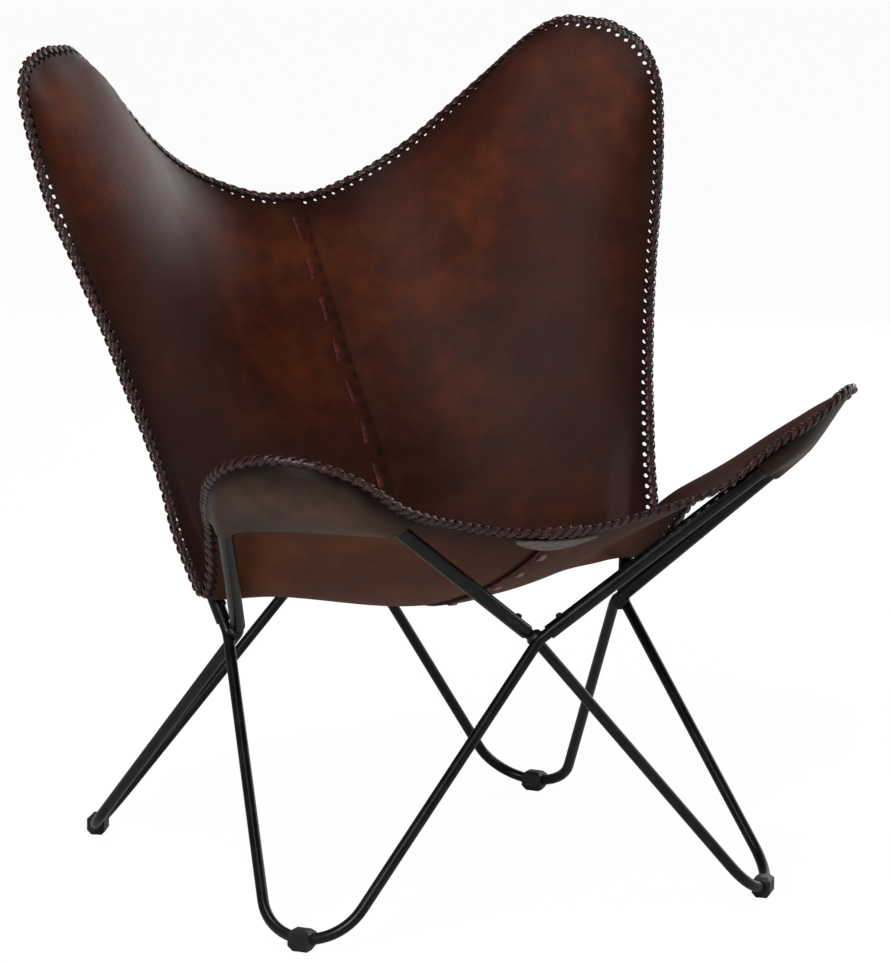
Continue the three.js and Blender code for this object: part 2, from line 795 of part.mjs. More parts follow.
function flatGrid(side) {
  const sign = SIDES[side];
  const grid = [];
  for (let i = 0; i <= PANEL_COLUMNS; i++) grid.push(new Array(PANEL_ROWS + 1));
  const line = (from, to, count) =>
    evenly(from, to, count, (t) => alongEdge(side, t)).map((t) =>
      insideEdge(side, t, LACE_OVERHANG),
    );
  const lapEnds = ["right", "left"].map((s) => [
    insideEdge(s, edgeAtSide(s, LAP_HALF_WIDTH, 0, 1), LACE_OVERHANG).w,
    insideEdge(s, edgeAtSide(s, LAP_HALF_WIDTH, lastKnot - 1, lastKnot), LACE_OVERHANG).w,
  ]);
  const ends = [0, 1].map((k) => (lapEnds[0][k] + lapEnds[1][k]) / 2);
  middleRows.forEach((w, j) => {
    const edge = j === 0 ? ends[0] : j === PANEL_ROWS ? ends[1] : w;
    grid[0][j] = { x: -sign * LAP_HALF_WIDTH, w: edge };
    grid[1][j] = { x: 0, w };
    grid[2][j] = { x: sign * LAP_HALF_WIDTH, w: edge };
  });
  line(ARM_CORNER_INDEX, WING_CORNER_INDEX, PANEL_ROWS).forEach((p, j) => {
    grid[PANEL_COLUMNS][j] = p;
  });
  const frontStart = edgeAtSide(side, LAP_HALF_WIDTH, 0, 1);
  const topStart = edgeAtSide(side, LAP_HALF_WIDTH, lastKnot - 1, lastKnot);
  line(frontStart, ARM_CORNER_INDEX, span).forEach((p, k) => {
    if (k > 0) grid[LAP_COLUMNS + k][0] = p;
  });
  line(topStart, WING_CORNER_INDEX, span).forEach((p, k) => {
    if (k > 0) grid[LAP_COLUMNS + k][PANEL_ROWS] = p;
  });
  relax(grid, LAP_COLUMNS);
  return grid;
}

// Fills the inside of a grid from its border columns and rows, evenly
function relax(grid, first) {
  const [last, top] = [grid.length - 1, grid[0].length - 1];
  for (let i = first + 1; i < last; i++)
    for (let j = 1; j < top; j++) {
      const u = (i - first) / (last - first);
      const v = j / top;
      const blend = (key) =>
        lerp(grid[first][j][key], grid[last][j][key], u) +
        lerp(grid[i][0][key], grid[i][top][key], v) -
        lerp(
          lerp(grid[first][0][key], grid[last][0][key], u),
          lerp(grid[first][top][key], grid[last][top][key], u),
          v,
        );
      grid[i][j] = { x: blend("x"), w: blend("w") };
    }
  for (let round = 0; round < 60; round++)
    for (let i = first + 1; i < last; i++)
      for (let j = 1; j < top; j++) {
        const around = [grid[i - 1][j], grid[i + 1][j], grid[i][j - 1], grid[i][j + 1]];
        grid[i][j] = {
          x: around.reduce((sum, p) => sum + p.x, 0) / 4,
          w: around.reduce((sum, p) => sum + p.w, 0) / 4,
        };
      }
}

function gridNormals(grid, sign = 1) {
  const [last, top] = [grid.length - 1, grid[0].length - 1];
  return grid.map((column, i) =>
    column.map((_, j) => {
      const a = grid[Math.max(i - 1, 0)][j];
      const b = grid[Math.min(i + 1, last)][j];
      const c = grid[i][Math.max(j - 1, 0)];
      const d = grid[i][Math.min(j + 1, top)];
      return b.clone().sub(a).cross(d.clone().sub(c)).normalize().multiplyScalar(sign);
    }),
  );
}

// The corners of a grid's faces, two to each cell; the cells that a corner of the border
// needs are split the other way
function facesOf(grid) {
  const [last, top] = [grid.length - 1, grid[0].length - 1];
  const faces = [];
  for (let i = 0; i < last; i++)
    for (let j = 0; j < top; j++) {
      const [a, b, c, d] = [[i, j], [i + 1, j], [i + 1, j + 1], [i, j + 1]];
      const turn = i === last - 1 && j === 0;
      if (turn) faces.push([a, b, d], [b, c, d]);
      else faces.push([a, b, c], [a, c, d]);
    }
  return faces;
}

// Moves grid points along their normals until every face is clear of the loops' middle lines
function liftClear(grid, lines, clearOf, direction, sign) {
  const places = lines.flatMap((line) => {
    const out = [];
    for (let k = 0; k + 1 < line.length; k++) {
      const count = Math.max(1, Math.round(line[k].distanceTo(line[k + 1]) / ROD_DIAMETER));
      for (let n = 0; n < count; n++) out.push(line[k].clone().lerp(line[k + 1], n / count));
    }
    return out;
  });
  const face = new THREE.Triangle();
  const near = new THREE.Vector3();
  const shares = new THREE.Vector3();
  for (let round = 0; round < 20; round++) {
    const ways = gridNormals(grid, sign);
    let moved = false;
    for (const ids of facesOf(grid)) {
      face.set(...ids.map(([i, j]) => grid[i][j]));
      const size = face.a.distanceTo(face.b) + face.a.distanceTo(face.c);
      const clear = clearOf(...ids[0], ...ids[2]);
      for (const place of places) {
        if (place.distanceTo(face.a) > size + clear) continue;
        face.closestPointToPoint(place, near);
        face.getBarycoord(near, shares);
        const way = ways[ids[0][0]][ids[0][1]];
        const side = near.clone().sub(place).dot(way) * direction;
        const short = clear - Math.sign(side) * near.distanceTo(place);
        if (short <= 0 || short > 2 * clear) continue;
        moved = true;
        ids.forEach(([i, j], k) => {
          const share = shares.getComponent(k);
          grid[i][j].addScaledVector(ways[i][j], direction * short * share);
        });
      }
    }
    if (!moved) break;
  }
}

const leatherClear = TUBE_DIAMETER / 2 + LEATHER_THICKNESS / 2 + PIECE_GAP;
const bandThickness = LEATHER_THICKNESS / 2 + SLOT_GAP + LACE_WALL;
const bandClear = TUBE_DIAMETER / 2 + bandThickness + PIECE_GAP;
const LAST_COLUMN = PANEL_COLUMNS + 1;
const LAST_ROW = PANEL_ROWS + 2;
const onBorder = (i, j, m, n) =>
  Math.max(i, m) === PANEL_COLUMNS || Math.min(j, n) === 0 || Math.max(j, n) === PANEL_ROWS;

// Adds a row and a column along the outer border, just inside the lace
function withBorderStrip(grid) {
  const width = LACE_INSIDE + LACE_STRIP_PLAY;
  const inside = (a, b) => a.clone().lerp(b, width / a.distanceTo(b));
  const strips = grid.map((column) => {
    const [first, second] = column;
    const [before, last] = column.slice(-2);
    return [first, inside(first, second), ...column.slice(1, -1), inside(last, before), last];
  });
  const outer = strips.length - 1;
  const added = strips[outer].map((p, j) => inside(p, strips[outer - 1][j]));
  strips.splice(outer, 0, added);
  return strips;
}

// The middle surface of a half's leather, and the way up at each of its grid points
function halfSurface(side) {
  const places = flatGrid(side).map((column) => column.map((p) => onPlate(p.x, p.w)));
  const lines = ["back_" + side, "arm_" + side].map((name) => loops[name].stations);
  const clearOf = (...cell) => (onBorder(...cell) ? bandClear : leatherClear);
  liftClear(places, lines, clearOf, 1, SIDES[side]);
  const grid = withBorderStrip(places);
  return { grid, ways: gridNormals(grid, SIDES[side]) };
}
const halves = { right: halfSurface("right"), left: halfSurface("left") };
for (let j = 0; j <= LAST_ROW; j++) {
  const { right, left } = halves;
  const middle = right.ways[1][j].clone().add(left.ways[1][j]).normalize();
  right.ways[1][j] = middle;
  left.ways[1][j] = middle.clone();
  right.ways[0][j] = left.ways[2][j].clone();
  left.ways[0][j] = right.ways[2][j].clone();
}
const middleLine = halves.right.grid[1];
const middleWays = halves.right.ways[1];

// A closed sheet of the given thickness about a grid of points
function sheetSolid(grid, ways, thickness, shift = () => 0) {
  const [columns, rows] = [grid.length, grid[0].length];
  const points = [];
  for (const side of [1, -1])
    for (let i = 0; i < columns; i++)
      for (let j = 0; j < rows; j++)
        points.push(
          grid[i][j]
            .clone()
            .addScaledVector(ways[i][j], (side * thickness) / 2 + shift(i, j)),
        );
  const id = (side, i, j) => side * columns * rows + i * rows + j;
  const triangles = [];
  const quad = (a, b, c, d) => triangles.push(a, b, c, a, c, d);
  for (const [a, b, c] of facesOf(grid)) {
    triangles.push(id(0, ...a), id(0, ...b), id(0, ...c));
    triangles.push(id(1, ...c), id(1, ...b), id(1, ...a));
  }
  const rim = [];
  for (let i = 0; i + 1 < columns; i++) rim.push([i, 0]);
  for (let j = 0; j + 1 < rows; j++) rim.push([columns - 1, j]);
  for (let i = columns - 1; i > 0; i--) rim.push([i, rows - 1]);
  for (let j = rows - 1; j > 0; j--) rim.push([0, j]);
  rim.forEach(([i, j], k) => {
    const [m, n] = rim[(k + 1) % rim.length];
    quad(id(0, i, j), id(1, i, j), id(1, m, n), id(0, m, n));
  });
  return solidOf(geometryOf(points, triangles));
}

const lapShift = (LEATHER_THICKNESS + LAP_GAP) / 2;
const shiftBy = (way) => (i) => (i <= LAP_COLUMNS ? way * lapShift : 0);

// The lace of the seam, over and under both panels at the middle line

function seamLacePath() {
  const lengths = [0];
  for (let j = 1; j <= LAST_ROW; j++)
    lengths.push(lengths[j - 1] + middleLine[j].distanceTo(middleLine[j - 1]));
  const total = lengths[LAST_ROW];
  const high = lapShift + LEATHER_THICKNESS / 2 + SEAM_LACE_GAP + SEAM_LACE_THICKNESS / 2;
  const marks = [];
  const end = total - SEAM_END_INSET;
  const low = SEAM_PITCH - SEAM_STITCH - 2 * SEAM_DIVE;
  for (let s = SEAM_END_INSET; s < end - SEAM_STITCH; s += SEAM_PITCH) {
    marks.push([s, high], [s + SEAM_STITCH, high]);
    if (s + SEAM_PITCH < end - SEAM_STITCH)
      marks.push([s + SEAM_STITCH + SEAM_DIVE, -high], [s + SEAM_STITCH + SEAM_DIVE + low, -high]);
  }
  const places = [];
  for (let k = 0; k < marks.length; k++) {
    places.push(marks[k]);
    if (k + 1 === marks.length) break;
    for (const length of lengths)
      if (length > marks[k][0] + SEAM_LACE_GAP && length < marks[k + 1][0] - SEAM_LACE_GAP)
        places.push([length, lerp(marks[k][1], marks[k + 1][1],
          (length - marks[k][0]) / (marks[k + 1][0] - marks[k][0]))]);
  }
  return places.map(([s, height]) => {
    let j = 1;
    while (j < LAST_ROW && lengths[j] < s) j++;
    const f = (s - lengths[j - 1]) / (lengths[j] - lengths[j - 1]);
    const way = middleWays[j - 1].clone().lerp(middleWays[j], f);
    return middleLine[j - 1].clone().lerp(middleLine[j], f).addScaledVector(way, height);
  });
}

function ribbon(path, width, thickness, extend) {
  const across = vec(1, 0, 0);
  const points = [];
  path.forEach((p, k) => {
    const before = p.clone().sub(path[Math.max(k - 1, 0)]).normalize();
    const after = path[Math.min(k + 1, path.length - 1)].clone().sub(p).normalize();
    const way = before.clone().add(after).normalize();
    const square = k > 0 && k < path.length - 1 ? Math.max(way.dot(after), 0.6) : 1;
    const up = across.clone().cross(way).normalize().multiplyScalar(thickness / 2 / square);
    const place = p.clone();
    if (k === 0) place.addScaledVector(way, -extend);
    if (k === path.length - 1) place.addScaledVector(way, extend);
    const side = across.clone().multiplyScalar(width / 2);
    points.push(place.clone().add(side).add(up), place.clone().sub(side).add(up));
    points.push(place.clone().sub(side).sub(up), place.clone().add(side).sub(up));
  });
  return solidOf(geometryOf(points, ringTriangles(path.length, 4, false)));
}

function ringTriangles(rings, sides, closed) {
  const triangles = [];
  const count = closed ? rings : rings - 1;
  for (let k = 0; k < count; k++)
    for (let s = 0; s < sides; s++) {
      const [a, b] = [k * sides + s, k * sides + ((s + 1) % sides)];
      const [c, d] = [((k + 1) % rings) * sides + s, ((k + 1) % rings) * sides + ((s + 1) % sides)];
      triangles.push(a, b, d, a, d, c);
    }
  if (!closed)
    for (let s = 1; s + 1 < sides; s++) {
      triangles.push(0, s + 1, s);
      const base = (rings - 1) * sides;
      triangles.push(base, base + s, base + s + 1);
    }
  return triangles;
}

const lacePath = seamLacePath();
const laceRoomGrowth = SEAM_LACE_GAP - 0.1 * PIECE_GAP - 0.1 * SEAM_LACE_GAP;
const laceRoom = ribbon(
  lacePath,
  SEAM_LACE_WIDTH + 2 * PIECE_GAP,
  SEAM_LACE_THICKNESS + 2 * laceRoomGrowth,
  PIECE_GAP,
);
addSolid("seam_lace", ribbon(lacePath, SEAM_LACE_WIDTH, SEAM_LACE_THICKNESS, 0), laceLeather);

// Panels: the left one lies over the right one at the seam

for (const [side, half] of Object.entries(halves)) {
  const panel = sheetSolid(half.grid, half.ways, LEATHER_THICKNESS, shiftBy(-SIDES[side]));
  addSolid("sling_panel_" + side, largestBody(panel.subtract(laceRoom)), leather);
}

// The plaited lace round the edge: a band with a slot for the leather

// A half's border from the front to the top: each place with the next one inward
function borderSteps() {
  const steps = [];
  const [last, top] = [LAST_COLUMN, LAST_ROW];
  const add = (i, j, di, dj) => steps.push({ i, j, m: i + di, n: j + dj });
  for (let i = 1; i < last; i++) add(i, 0, 0, 1);
  add(last, 0, -1, 1);
  for (let j = 1; j < top; j++) add(last, j, -1, 0);
  add(last, top, -1, -1);
  for (let i = last - 1; i >= 1; i--) add(i, top, 0, -1);
  return steps;
}
const border = borderSteps();
const besideCorner = ({ i, j }) =>
  (i === LAST_COLUMN - 1 && (j === 0 || j === LAST_ROW)) ||
  (i === LAST_COLUMN && (j === 1 || j === LAST_ROW - 1));

// A place on the leather's middle at a distance in from the border, and the way up there
function inFromBorder(side, { i, j, m, n }, distance) {
  const { grid, ways } = halves[side];
  const strip = grid[i][j].distanceTo(grid[m][n]);
  const past = distance > strip;
  const [a, b] = past ? [[m, n], [2 * m - i, 2 * n - j]] : [[i, j], [m, n]];
  const [from, to] = [a, b].map(([x, y]) => grid[x][y]);
  const share = (distance - (past ? strip : 0)) / from.distanceTo(to);
  return {
    place: from.clone().lerp(to, share),
    way: ways[a[0]][a[1]].clone().lerp(ways[b[0]][b[1]], share).normalize(),
  };
}

function bandRing(side, step) {
  const lapped = step.i <= LAP_COLUMNS ? lapShift : 0;
  const slot = LEATHER_THICKNESS / 2 + SLOT_GAP + lapped;
  const thick = slot + LACE_WALL;
  return [
    [LACE_INSIDE, thick],
    [0, thick],
    [-LACE_OVERHANG, thick / 2],
    [-LACE_OVERHANG, -thick / 2],
    [0, -thick],
    [LACE_INSIDE, -thick],
    [LACE_INSIDE, -slot],
    [-2 * SLOT_GAP, -slot],
    [-2 * SLOT_GAP, slot],
    [LACE_INSIDE, slot],
  ].map(([x, y]) => {
    const { place, way } = inFromBorder(side, step, x);
    return place.addScaledVector(way, y);
  });
}

function edgeBand() {
  const rings = border.map((step) => bandRing("right", step));
  const returning = border.slice(1, -1).reverse();
  rings.push(...returning.map((step) => bandRing("left", step)));
  return solidOf(geometryOf(rings.flat(), ringTriangles(rings.length, rings[0].length, true)));
}
const bandSolid = Object.values(halves).reduce(
  (band, { grid, ways }, k) =>
    band.subtract(
      sheetSolid(grid, ways, LEATHER_THICKNESS + 2 * PIECE_GAP, shiftBy(k === 0 ? -1 : 1)),
    ),
  edgeBand(),
);
addSolid("edge_lacing", largestBody(bandSolid), plaitLeather);

// Patch under the front end of the seam

function patchSolid() {
  const drop = -(lapShift + LEATHER_THICKNESS / 2 + PATCH_THICKNESS / 2 + 2 * PIECE_GAP);
  const rows = [PATCH_INSET, PATCH_INSET + PATCH_DEPTH];
  const across = (side, steps) =>
    steps.map((step) => rows.map((row) => inFromBorder(side, step, row)));
  const columns = [
    ...across("left", border.slice(1, 3).reverse()),
    ...across("right", border.slice(0, 3)),
  ];
  return sheetSolid(
    columns.map((column) => column.map((p) => p.place)),
    columns.map((column) => column.map((p) => p.way)),
    PATCH_THICKNESS,
    () => drop,
  );
}
addSolid("front_seam_patch", patchSolid(), patchLeather);

// Pockets over the ends of the loops: from the border the leather turns down round the
// tube, then lies behind the loop as far as the mouth between the two legs

function pocketGrid(side, from, to, loop) {
  const steps = border.slice(from, to + 1).filter((s) => !besideCorner(s));
  const last = steps.length - 1;
  const below = TUBE_DIAMETER / 2 + LEATHER_THICKNESS / 2 + PIECE_GAP + POCKET_CLEARANCE;
  const least = bandThickness + LEATHER_THICKNESS / 2 + PIECE_GAP + POCKET_SEAT_PLAY;
  const over = (p) => p.clone().sub(loop.corner).dot(loop.plane) + below;
  const inset = (s, distance) =>
    inFromBorder(side, s, s.i === LAST_COLUMN && s.m < s.i && s.n !== s.j
      ? distance * Math.SQRT2
      : distance);
  const seats = steps.map((s) => {
    const { place, way } = inset(s, POCKET_INSET);
    return place.addScaledVector(way, -least);
  });
  const [a, b] = [seats[0], seats[last]];
  return seats.map((seat, k) => {
    const turn = inset(steps[k], POCKET_INSET + POCKET_TURN);
    const fall = k === 0 || k === last ? POCKET_END_FALL_SHARE : 1;
    const wall = (over(turn.place) * fall) / turn.way.dot(loop.plane);
    const low = turn.place.addScaledVector(turn.way, -Math.max(least + POCKET_TURN, wall));
    const mouth = a.clone().lerp(b, lerp(0.3, 0.7, k / last));
    mouth.addScaledVector(loop.plane, -Math.max(over(mouth), 0));
    return [seat, low, ...POCKET_ROW_SHARES.map((share) => low.clone().lerp(mouth, share))];
  });
}

function addPocket(name, side, corner, [before, after]) {
  const loop = loops[name + "_" + side];
  const grid = pocketGrid(side, corner - before, corner + after, loop);
  const clear = TUBE_DIAMETER / 2 + LEATHER_THICKNESS / 2 + PIECE_GAP;
  const facing = gridNormals(grid)[2][2].dot(loop.plane) > 0 ? -1 : 1;
  liftClear(grid, [loop.stations], () => clear, facing, 1);
  const solid = sheetSolid(grid, gridNormals(grid), LEATHER_THICKNESS);
  addSolid("pocket_" + name + "_" + side, solid, pocketLeather);
}

const cornerStep = (i, j) => border.findIndex((s) => s.i === i && s.j === j);
const armStep = cornerStep(LAST_COLUMN, 0);
const wingStep = cornerStep(LAST_COLUMN, LAST_ROW);
for (const side of Object.keys(SIDES)) {
  addPocket("arm", side, armStep, ARM_POCKET_STEPS);
  addPocket("back", side, wingStep, BACK_POCKET_STEPS);
}

export default group;
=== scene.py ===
"""Butterfly sling chair: leather sling on a knock-down frame of bent steel rods and tubes."""

import math
import random

import bmesh
import bpy
import numpy as np
from mathutils import Matrix, Vector


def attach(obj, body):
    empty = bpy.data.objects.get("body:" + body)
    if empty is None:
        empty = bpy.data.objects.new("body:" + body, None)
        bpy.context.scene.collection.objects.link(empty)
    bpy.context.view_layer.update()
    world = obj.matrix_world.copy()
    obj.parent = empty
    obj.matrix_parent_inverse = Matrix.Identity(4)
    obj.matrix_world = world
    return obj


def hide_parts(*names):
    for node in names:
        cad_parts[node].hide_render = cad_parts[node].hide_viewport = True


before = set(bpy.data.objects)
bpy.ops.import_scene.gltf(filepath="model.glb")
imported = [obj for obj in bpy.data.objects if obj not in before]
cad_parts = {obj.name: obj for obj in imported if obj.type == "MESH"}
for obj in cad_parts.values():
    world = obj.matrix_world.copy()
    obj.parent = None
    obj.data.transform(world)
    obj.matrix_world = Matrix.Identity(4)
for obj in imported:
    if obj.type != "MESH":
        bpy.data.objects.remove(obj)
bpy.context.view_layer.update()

# Sizes in millimetres, as in the CAD model. The chair faces -Y and the floor is at zero.
MM = 0.001

ROD_DIAMETER = 12.0
TUBE_DIAMETER = 16.0
TUBE_WALL = 1.2
PIECE_GAP = 0.3
CROSSINGS = {
    "front": (0.0, -295.0, 301.0),
    "back": (0.0, 188.0, 344.0),
    "left": (-235.0, -43.0, 280.0),
    "right": (235.0, -43.0, 280.0),
}
FOOT_PLACES = {
    "front_left": (-318.0, -358.0, 0.0),
    "front_right": (318.0, -358.0, 0.0),
    "back_left": (-328.0, 307.0, 0.0),
    "back_right": (328.0, 307.0, 0.0),
}
LOOP_CORNERS = {
    "arm_left": (-419.0, -392.0, 612.0),
    "arm_right": (419.0, -392.0, 612.0),
    "back_left": (-514.0, 399.0, 1358.0),
    "back_right": (514.0, 399.0, 1358.0),
}
LOOP_BEND_RADIUS = {"arm": 88.0, "back": 89.0}
FOOT_BEND_RADIUS = 60.0
FOOT_ROD_HEIGHT = 12.5
KINK_RADIUS = 20.0
TUBE_END_GAP = 13.0
STUB_LENGTH = 44.0
SCREW_FROM_TUBE_END = 19.0
SCREW_HEAD_RADIUS = 3.5
SCREW_HEAD_HEIGHT = 2.6
SCREW_DOME = 1.7
SCREW_SOCKET_RADIUS = 1.5
SCREW_SOCKET_DEPTH = 1.2
WELD_RADIUS = 10.3
WELD_RIPPLES = 9
WELD_RIPPLE_SHARE = 0.035
WELD_FLAT_SHARE = 0.04
WELD_FLAT_PER_METRE = 90
GLIDE_ROUND = 0.9

# Sides of the round pieces, and steps of their bends
ROD_SIDES = 28
TUBE_SIDES = 32
SCREW_SIDES = 24
SCREW_DOME_STEPS = 5
WELD_SIDES = 32
WELD_RINGS = 18
GLIDE_ROUND_STEPS = 2
KINK_STEPS = 4
FOOT_STEPS = 22
LOOP_STEPS = 30
LOOP_LINE_STEPS = 24
FOOT_PASSES = 10

LEATHER_THICKNESS = 3.0
LACE_OVERHANG = 4.0
LAP_GAP = 0.6
LAP_EDGE = 13.5
LAP_FADE = 20.0
HOLE_FROM_CUT = 8.0
HOLE_RADIUS = 2.7
STRIP_WIDTH = 16.0
EDGE_SAMPLES = 401
LAP_SAMPLES = 201

# How leather near a tube is lifted clear of it: how far round a point, what counts as clear,
# and how many points at a time
LIFT_SPREAD = 9.0
LIFT_TOLERANCE = 0.02
LIFT_PASSES = 6
BATCH = 200

# Strands of the plait: where they start and end, as distances inside the cut edge, how deep
# they dive into their hole, what they take of their width and thickness at their ends and
# more in the middle, and between which values their play along the edge, their slant and
# their width are drawn
STRAND_THICKNESS = 1.15
STRAND_WIDTH = 6.2
STRAND_SEAT = 0.35
STRAND_ROOT = 5.6
STRAND_TIP = -0.6
STRAND_DIVE = 2.6
STRAND_DIVE_SHARE = 0.16
STRAND_WIDTH_SHARES = (0.6, 0.36)
STRAND_LIFT_SHARES = (0.3, 1.3)
STRAND_PLAYS = (-0.06, 0.06)
STRAND_SLANTS = (0.84, 0.96)
STRAND_WIDTHS = (0.93, 1.05)
CREST_ROOT = 1.2
CREST_SLANT = 1.3
CREST_WIDTH_SHARES = (0.5, 0.3)
CREST_LIFT_SHARES = (0.15, 1.45)
LINING_ROOT = 4.6
LINING_LIFT = 0.35
LINING_CLEAR = 0.05
STRAND_RINGS = 8
CREST_RINGS = 12
LINING_COLUMNS = 9

SEAM_LACE_WIDTH = 7.0
SEAM_LACE_THICKNESS = 1.6
SEAM_LACE_CLEAR = 0.15
SEAM_PITCH = 56.0
SEAM_STITCH = 30.0
SEAM_SHOULDER = 3.0
SEAM_SHOULDER_SHARE = 0.8
SEAM_ARCH = 0.25
SEAM_LEAN = 1.6
SEAM_DIVE = 7.0
SEAM_END_INSET = 16.0
SEAM_STEP = 1.5
SEAM_SAMPLES = 1200

PATCH_THICKNESS = 2.0
PATCH_REACH = 46.0
PATCH_FROM_CUT = 8.5
PATCH_DEPTH = 16.0
PATCH_TAPER_SHARE = 0.82
PATCH_EDGE_STEPS = 12
PATCH_COLUMNS = 24
PATCH_ROWS = 6

POCKET_THICKNESS = 2.6
POCKET_FROM_CUT = {"arm": 2.6, "back": 11.5}
POCKET_RAMP = 0.3
POCKET_CLEAR = 0.2
POCKET_MOUTH_DROP = 40.0
POCKET_SAG = 2.0
POCKET_DOWN = 34.0
POCKET_OUT = 26.0
POCKET_SWELL = 0.06
POCKET_MERGE = 0.2
POCKET_COLUMNS = 56
POCKET_ROWS = 24
POCKET_PASSES = 900
EVEN_PASSES = 1500

# How far from an edge, the lap or a pocket's rim the leather is darkened, and how much: a darker
# # band along the cut edge, a painted shadow along the lap, and painted shade under a pocket's rim
EDGE_DARK_FROM = 6.0
EDGE_DARK_FADE = 62.0
EDGE_DARK_POWER = 1.6
LAP_SHADOW_FADE = 9.0
LAP_SHADOW_SHARES = (1.2, 0.9)
RIM_SHADE_FADE = 34.0
RIM_SHADE_SHARE = 1.15
RIM_SHADE_POWER = 1.5

# Where each pocket is laced in, between two values along the edge line
POCKET_ENDS = {
    "arm": {"right": (2.6, 9.7), "left": (1.6, 10.4)},
    "back": {"right": (20.2, 26.4), "left": (20.2, 26.4)},
}

SLING_SIZE = np.array([395.0, 361.0, 908.0])
SLING_TILT = math.radians(10)

# Half of the sling's edge, from the middle of the front to the middle of the top, as shares
# of its reach to the side, to the back and up. The sling hangs a little to the right.
FRONT_SHARES = [(0, -0.983, 0.469), (0.256, -0.961, 0.48)]
ARM_SHARES = {
    "right": [
        (0.495, -1, 0.513), (0.601, -0.992, 0.54), (0.71, -0.97, 0.568), (0.835, -0.931, 0.596),
        (0.954, -0.839, 0.605), (0.948, -0.726, 0.575), (0.921, -0.615, 0.547),
        (0.879, -0.512, 0.517), (0.815, -0.438, 0.483),
    ],
    "left": [
        (0.49, -0.994, 0.513), (0.599, -0.978, 0.539), (0.711, -0.938, 0.56),
        (0.807, -0.847, 0.565), (0.868, -0.721, 0.551), (0.865, -0.593, 0.525),
        (0.846, -0.532, 0.511), (0.825, -0.471, 0.497), (0.792, -0.388, 0.483),
    ],
}
SIDE_SHARES = {
    "right": [
        (0.737, -0.266, 0.427), (0.711, -0.205, 0.389), (0.706, -0.15, 0.364),
        (0.727, -0.094, 0.386), (0.752, -0.044, 0.427), (0.768, 0.014, 0.485),
        (0.825, 0.155, 0.597), (0.887, 0.271, 0.704), (0.959, 0.377, 0.805), (1, 0.465, 0.906),
    ],
    "left": [
        (0.737, -0.266, 0.436), (0.711, -0.205, 0.394), (0.704, -0.15, 0.363),
        (0.72, -0.094, 0.385), (0.745, -0.044, 0.427), (0.764, 0.014, 0.485),
        (0.825, 0.155, 0.597), (0.893, 0.271, 0.704), (0.965, 0.377, 0.805), (1, 0.465, 0.906),
    ],
}
WING_SHARES = {
    "right": [
        (0.995, 0.506, 0.95), (0.962, 0.56, 0.984), (0.901, 0.645, 1.003), (0.82, 0.754, 1.006),
        (0.746, 0.827, 0.986), (0.682, 0.869, 0.958),
    ],
    "left": [
        (0.998, 0.498, 0.941), (0.961, 0.553, 0.968), (0.87, 0.646, 0.981), (0.784, 0.74, 0.977),
        (0.739, 0.798, 0.971), (0.689, 0.853, 0.96),
    ],
}
TOP_SHARES = {
    "right": [
        (0.614, 0.89, 0.931), (0.441, 0.958, 0.861), (0.238, 0.998, 0.803), (0, 0.96, 0.779),
    ],
    "left": [
        (0.613, 0.896, 0.932), (0.441, 0.953, 0.858), (0.238, 0.998, 0.803), (0, 0.96, 0.779),
    ],
}
MIDDLE_SHARES = [
    (0, -0.834, 0.43), (0, -0.582, 0.381), (0, -0.349, 0.347), (0, -0.086, 0.327),
    (0, 0.03, 0.333), (0, 0.112, 0.356), (0, 0.177, 0.391), (0, 0.247, 0.441), (0, 0.366, 0.503),
    (0, 0.54, 0.578), (0, 0.726, 0.666), (0, 0.867, 0.73),
]
ACROSS_SHARES = {
    "right": [(0.29, -0.125, 0.349), (0.504, -0.127, 0.36)],
    "left": [(0.29, -0.125, 0.342), (0.504, -0.127, 0.354)],
}
CREST_SHARES = {
    "right": [
        (0.877, -0.754, 0.577), (0.853, -0.657, 0.553), (0.818, -0.568, 0.527),
        (0.755, -0.495, 0.496), (0.71, -0.4, 0.47), (0.663, -0.305, 0.442),
    ],
    "left": [],
}
BACK_BEND_SHARES = [0, 0.25, 0.5, 0.75, 1]
BACK_LEG_SHARES = {"back": [0.18, 0.36], "side": [0.2, 0.42, 0.64]}
ARM_BEND_SHARES = [0.3, 0.5]
RIDGE = TUBE_DIAMETER / 2 + LEATHER_THICKNESS / 2 + PIECE_GAP + 0.7

ARM_CORNER = 6
WING_CORNER = 23
FRONT_HOLES = 34
SIDE_HOLES = 84
SIGN = {"right": 1.0, "left": -1.0}
OTHER = {"right": "left", "left": "right"}


# Colours


def linear(code):
    """An sRGB hex colour as linear RGBA."""
    out = []
    for i in (0, 2, 4):
        value = int(code[i : i + 2], 16) / 255
        out.append(value / 12.92 if value <= 0.04045 else ((value + 0.055) / 1.055) ** 2.4)
    return (*out, 1.0)


def add(tree, kind, inputs=(), ramp=(), **settings):
    """Adds a node with its settings, and with values or links at its inputs."""
    node = tree.nodes.new("ShaderNode" + kind)
    for key, value in settings.items():
        setattr(node, key, value)
    for key, value in dict(inputs).items():
        if isinstance(value, bpy.types.NodeSocket):
            tree.links.new(value, node.inputs[key])
        else:
            node.inputs[key].default_value = value
    for i, (place, colour) in enumerate(ramp):
        stops = node.color_ramp.elements
        stop = stops[i] if i < 2 else stops.new(place)
        stop.position = place
        stop.color = colour
    return node


def material(name):
    made = bpy.data.materials.new(name)
    made.use_nodes = True
    made.node_tree.nodes.clear()
    return made, made.node_tree


def grey(value):
    return (value, value, value, 1.0)


def noise(tree, place, size, detail, roughness=0.5, distortion=0.0):
    """Noise with clouds of a size in millimetres."""
    inputs = {"Vector": place, "Scale": 1000 / size, "Detail": detail}
    inputs.update({"Roughness": roughness, "Distortion": distortion})
    return add(tree, "TexNoise", inputs).outputs[0]


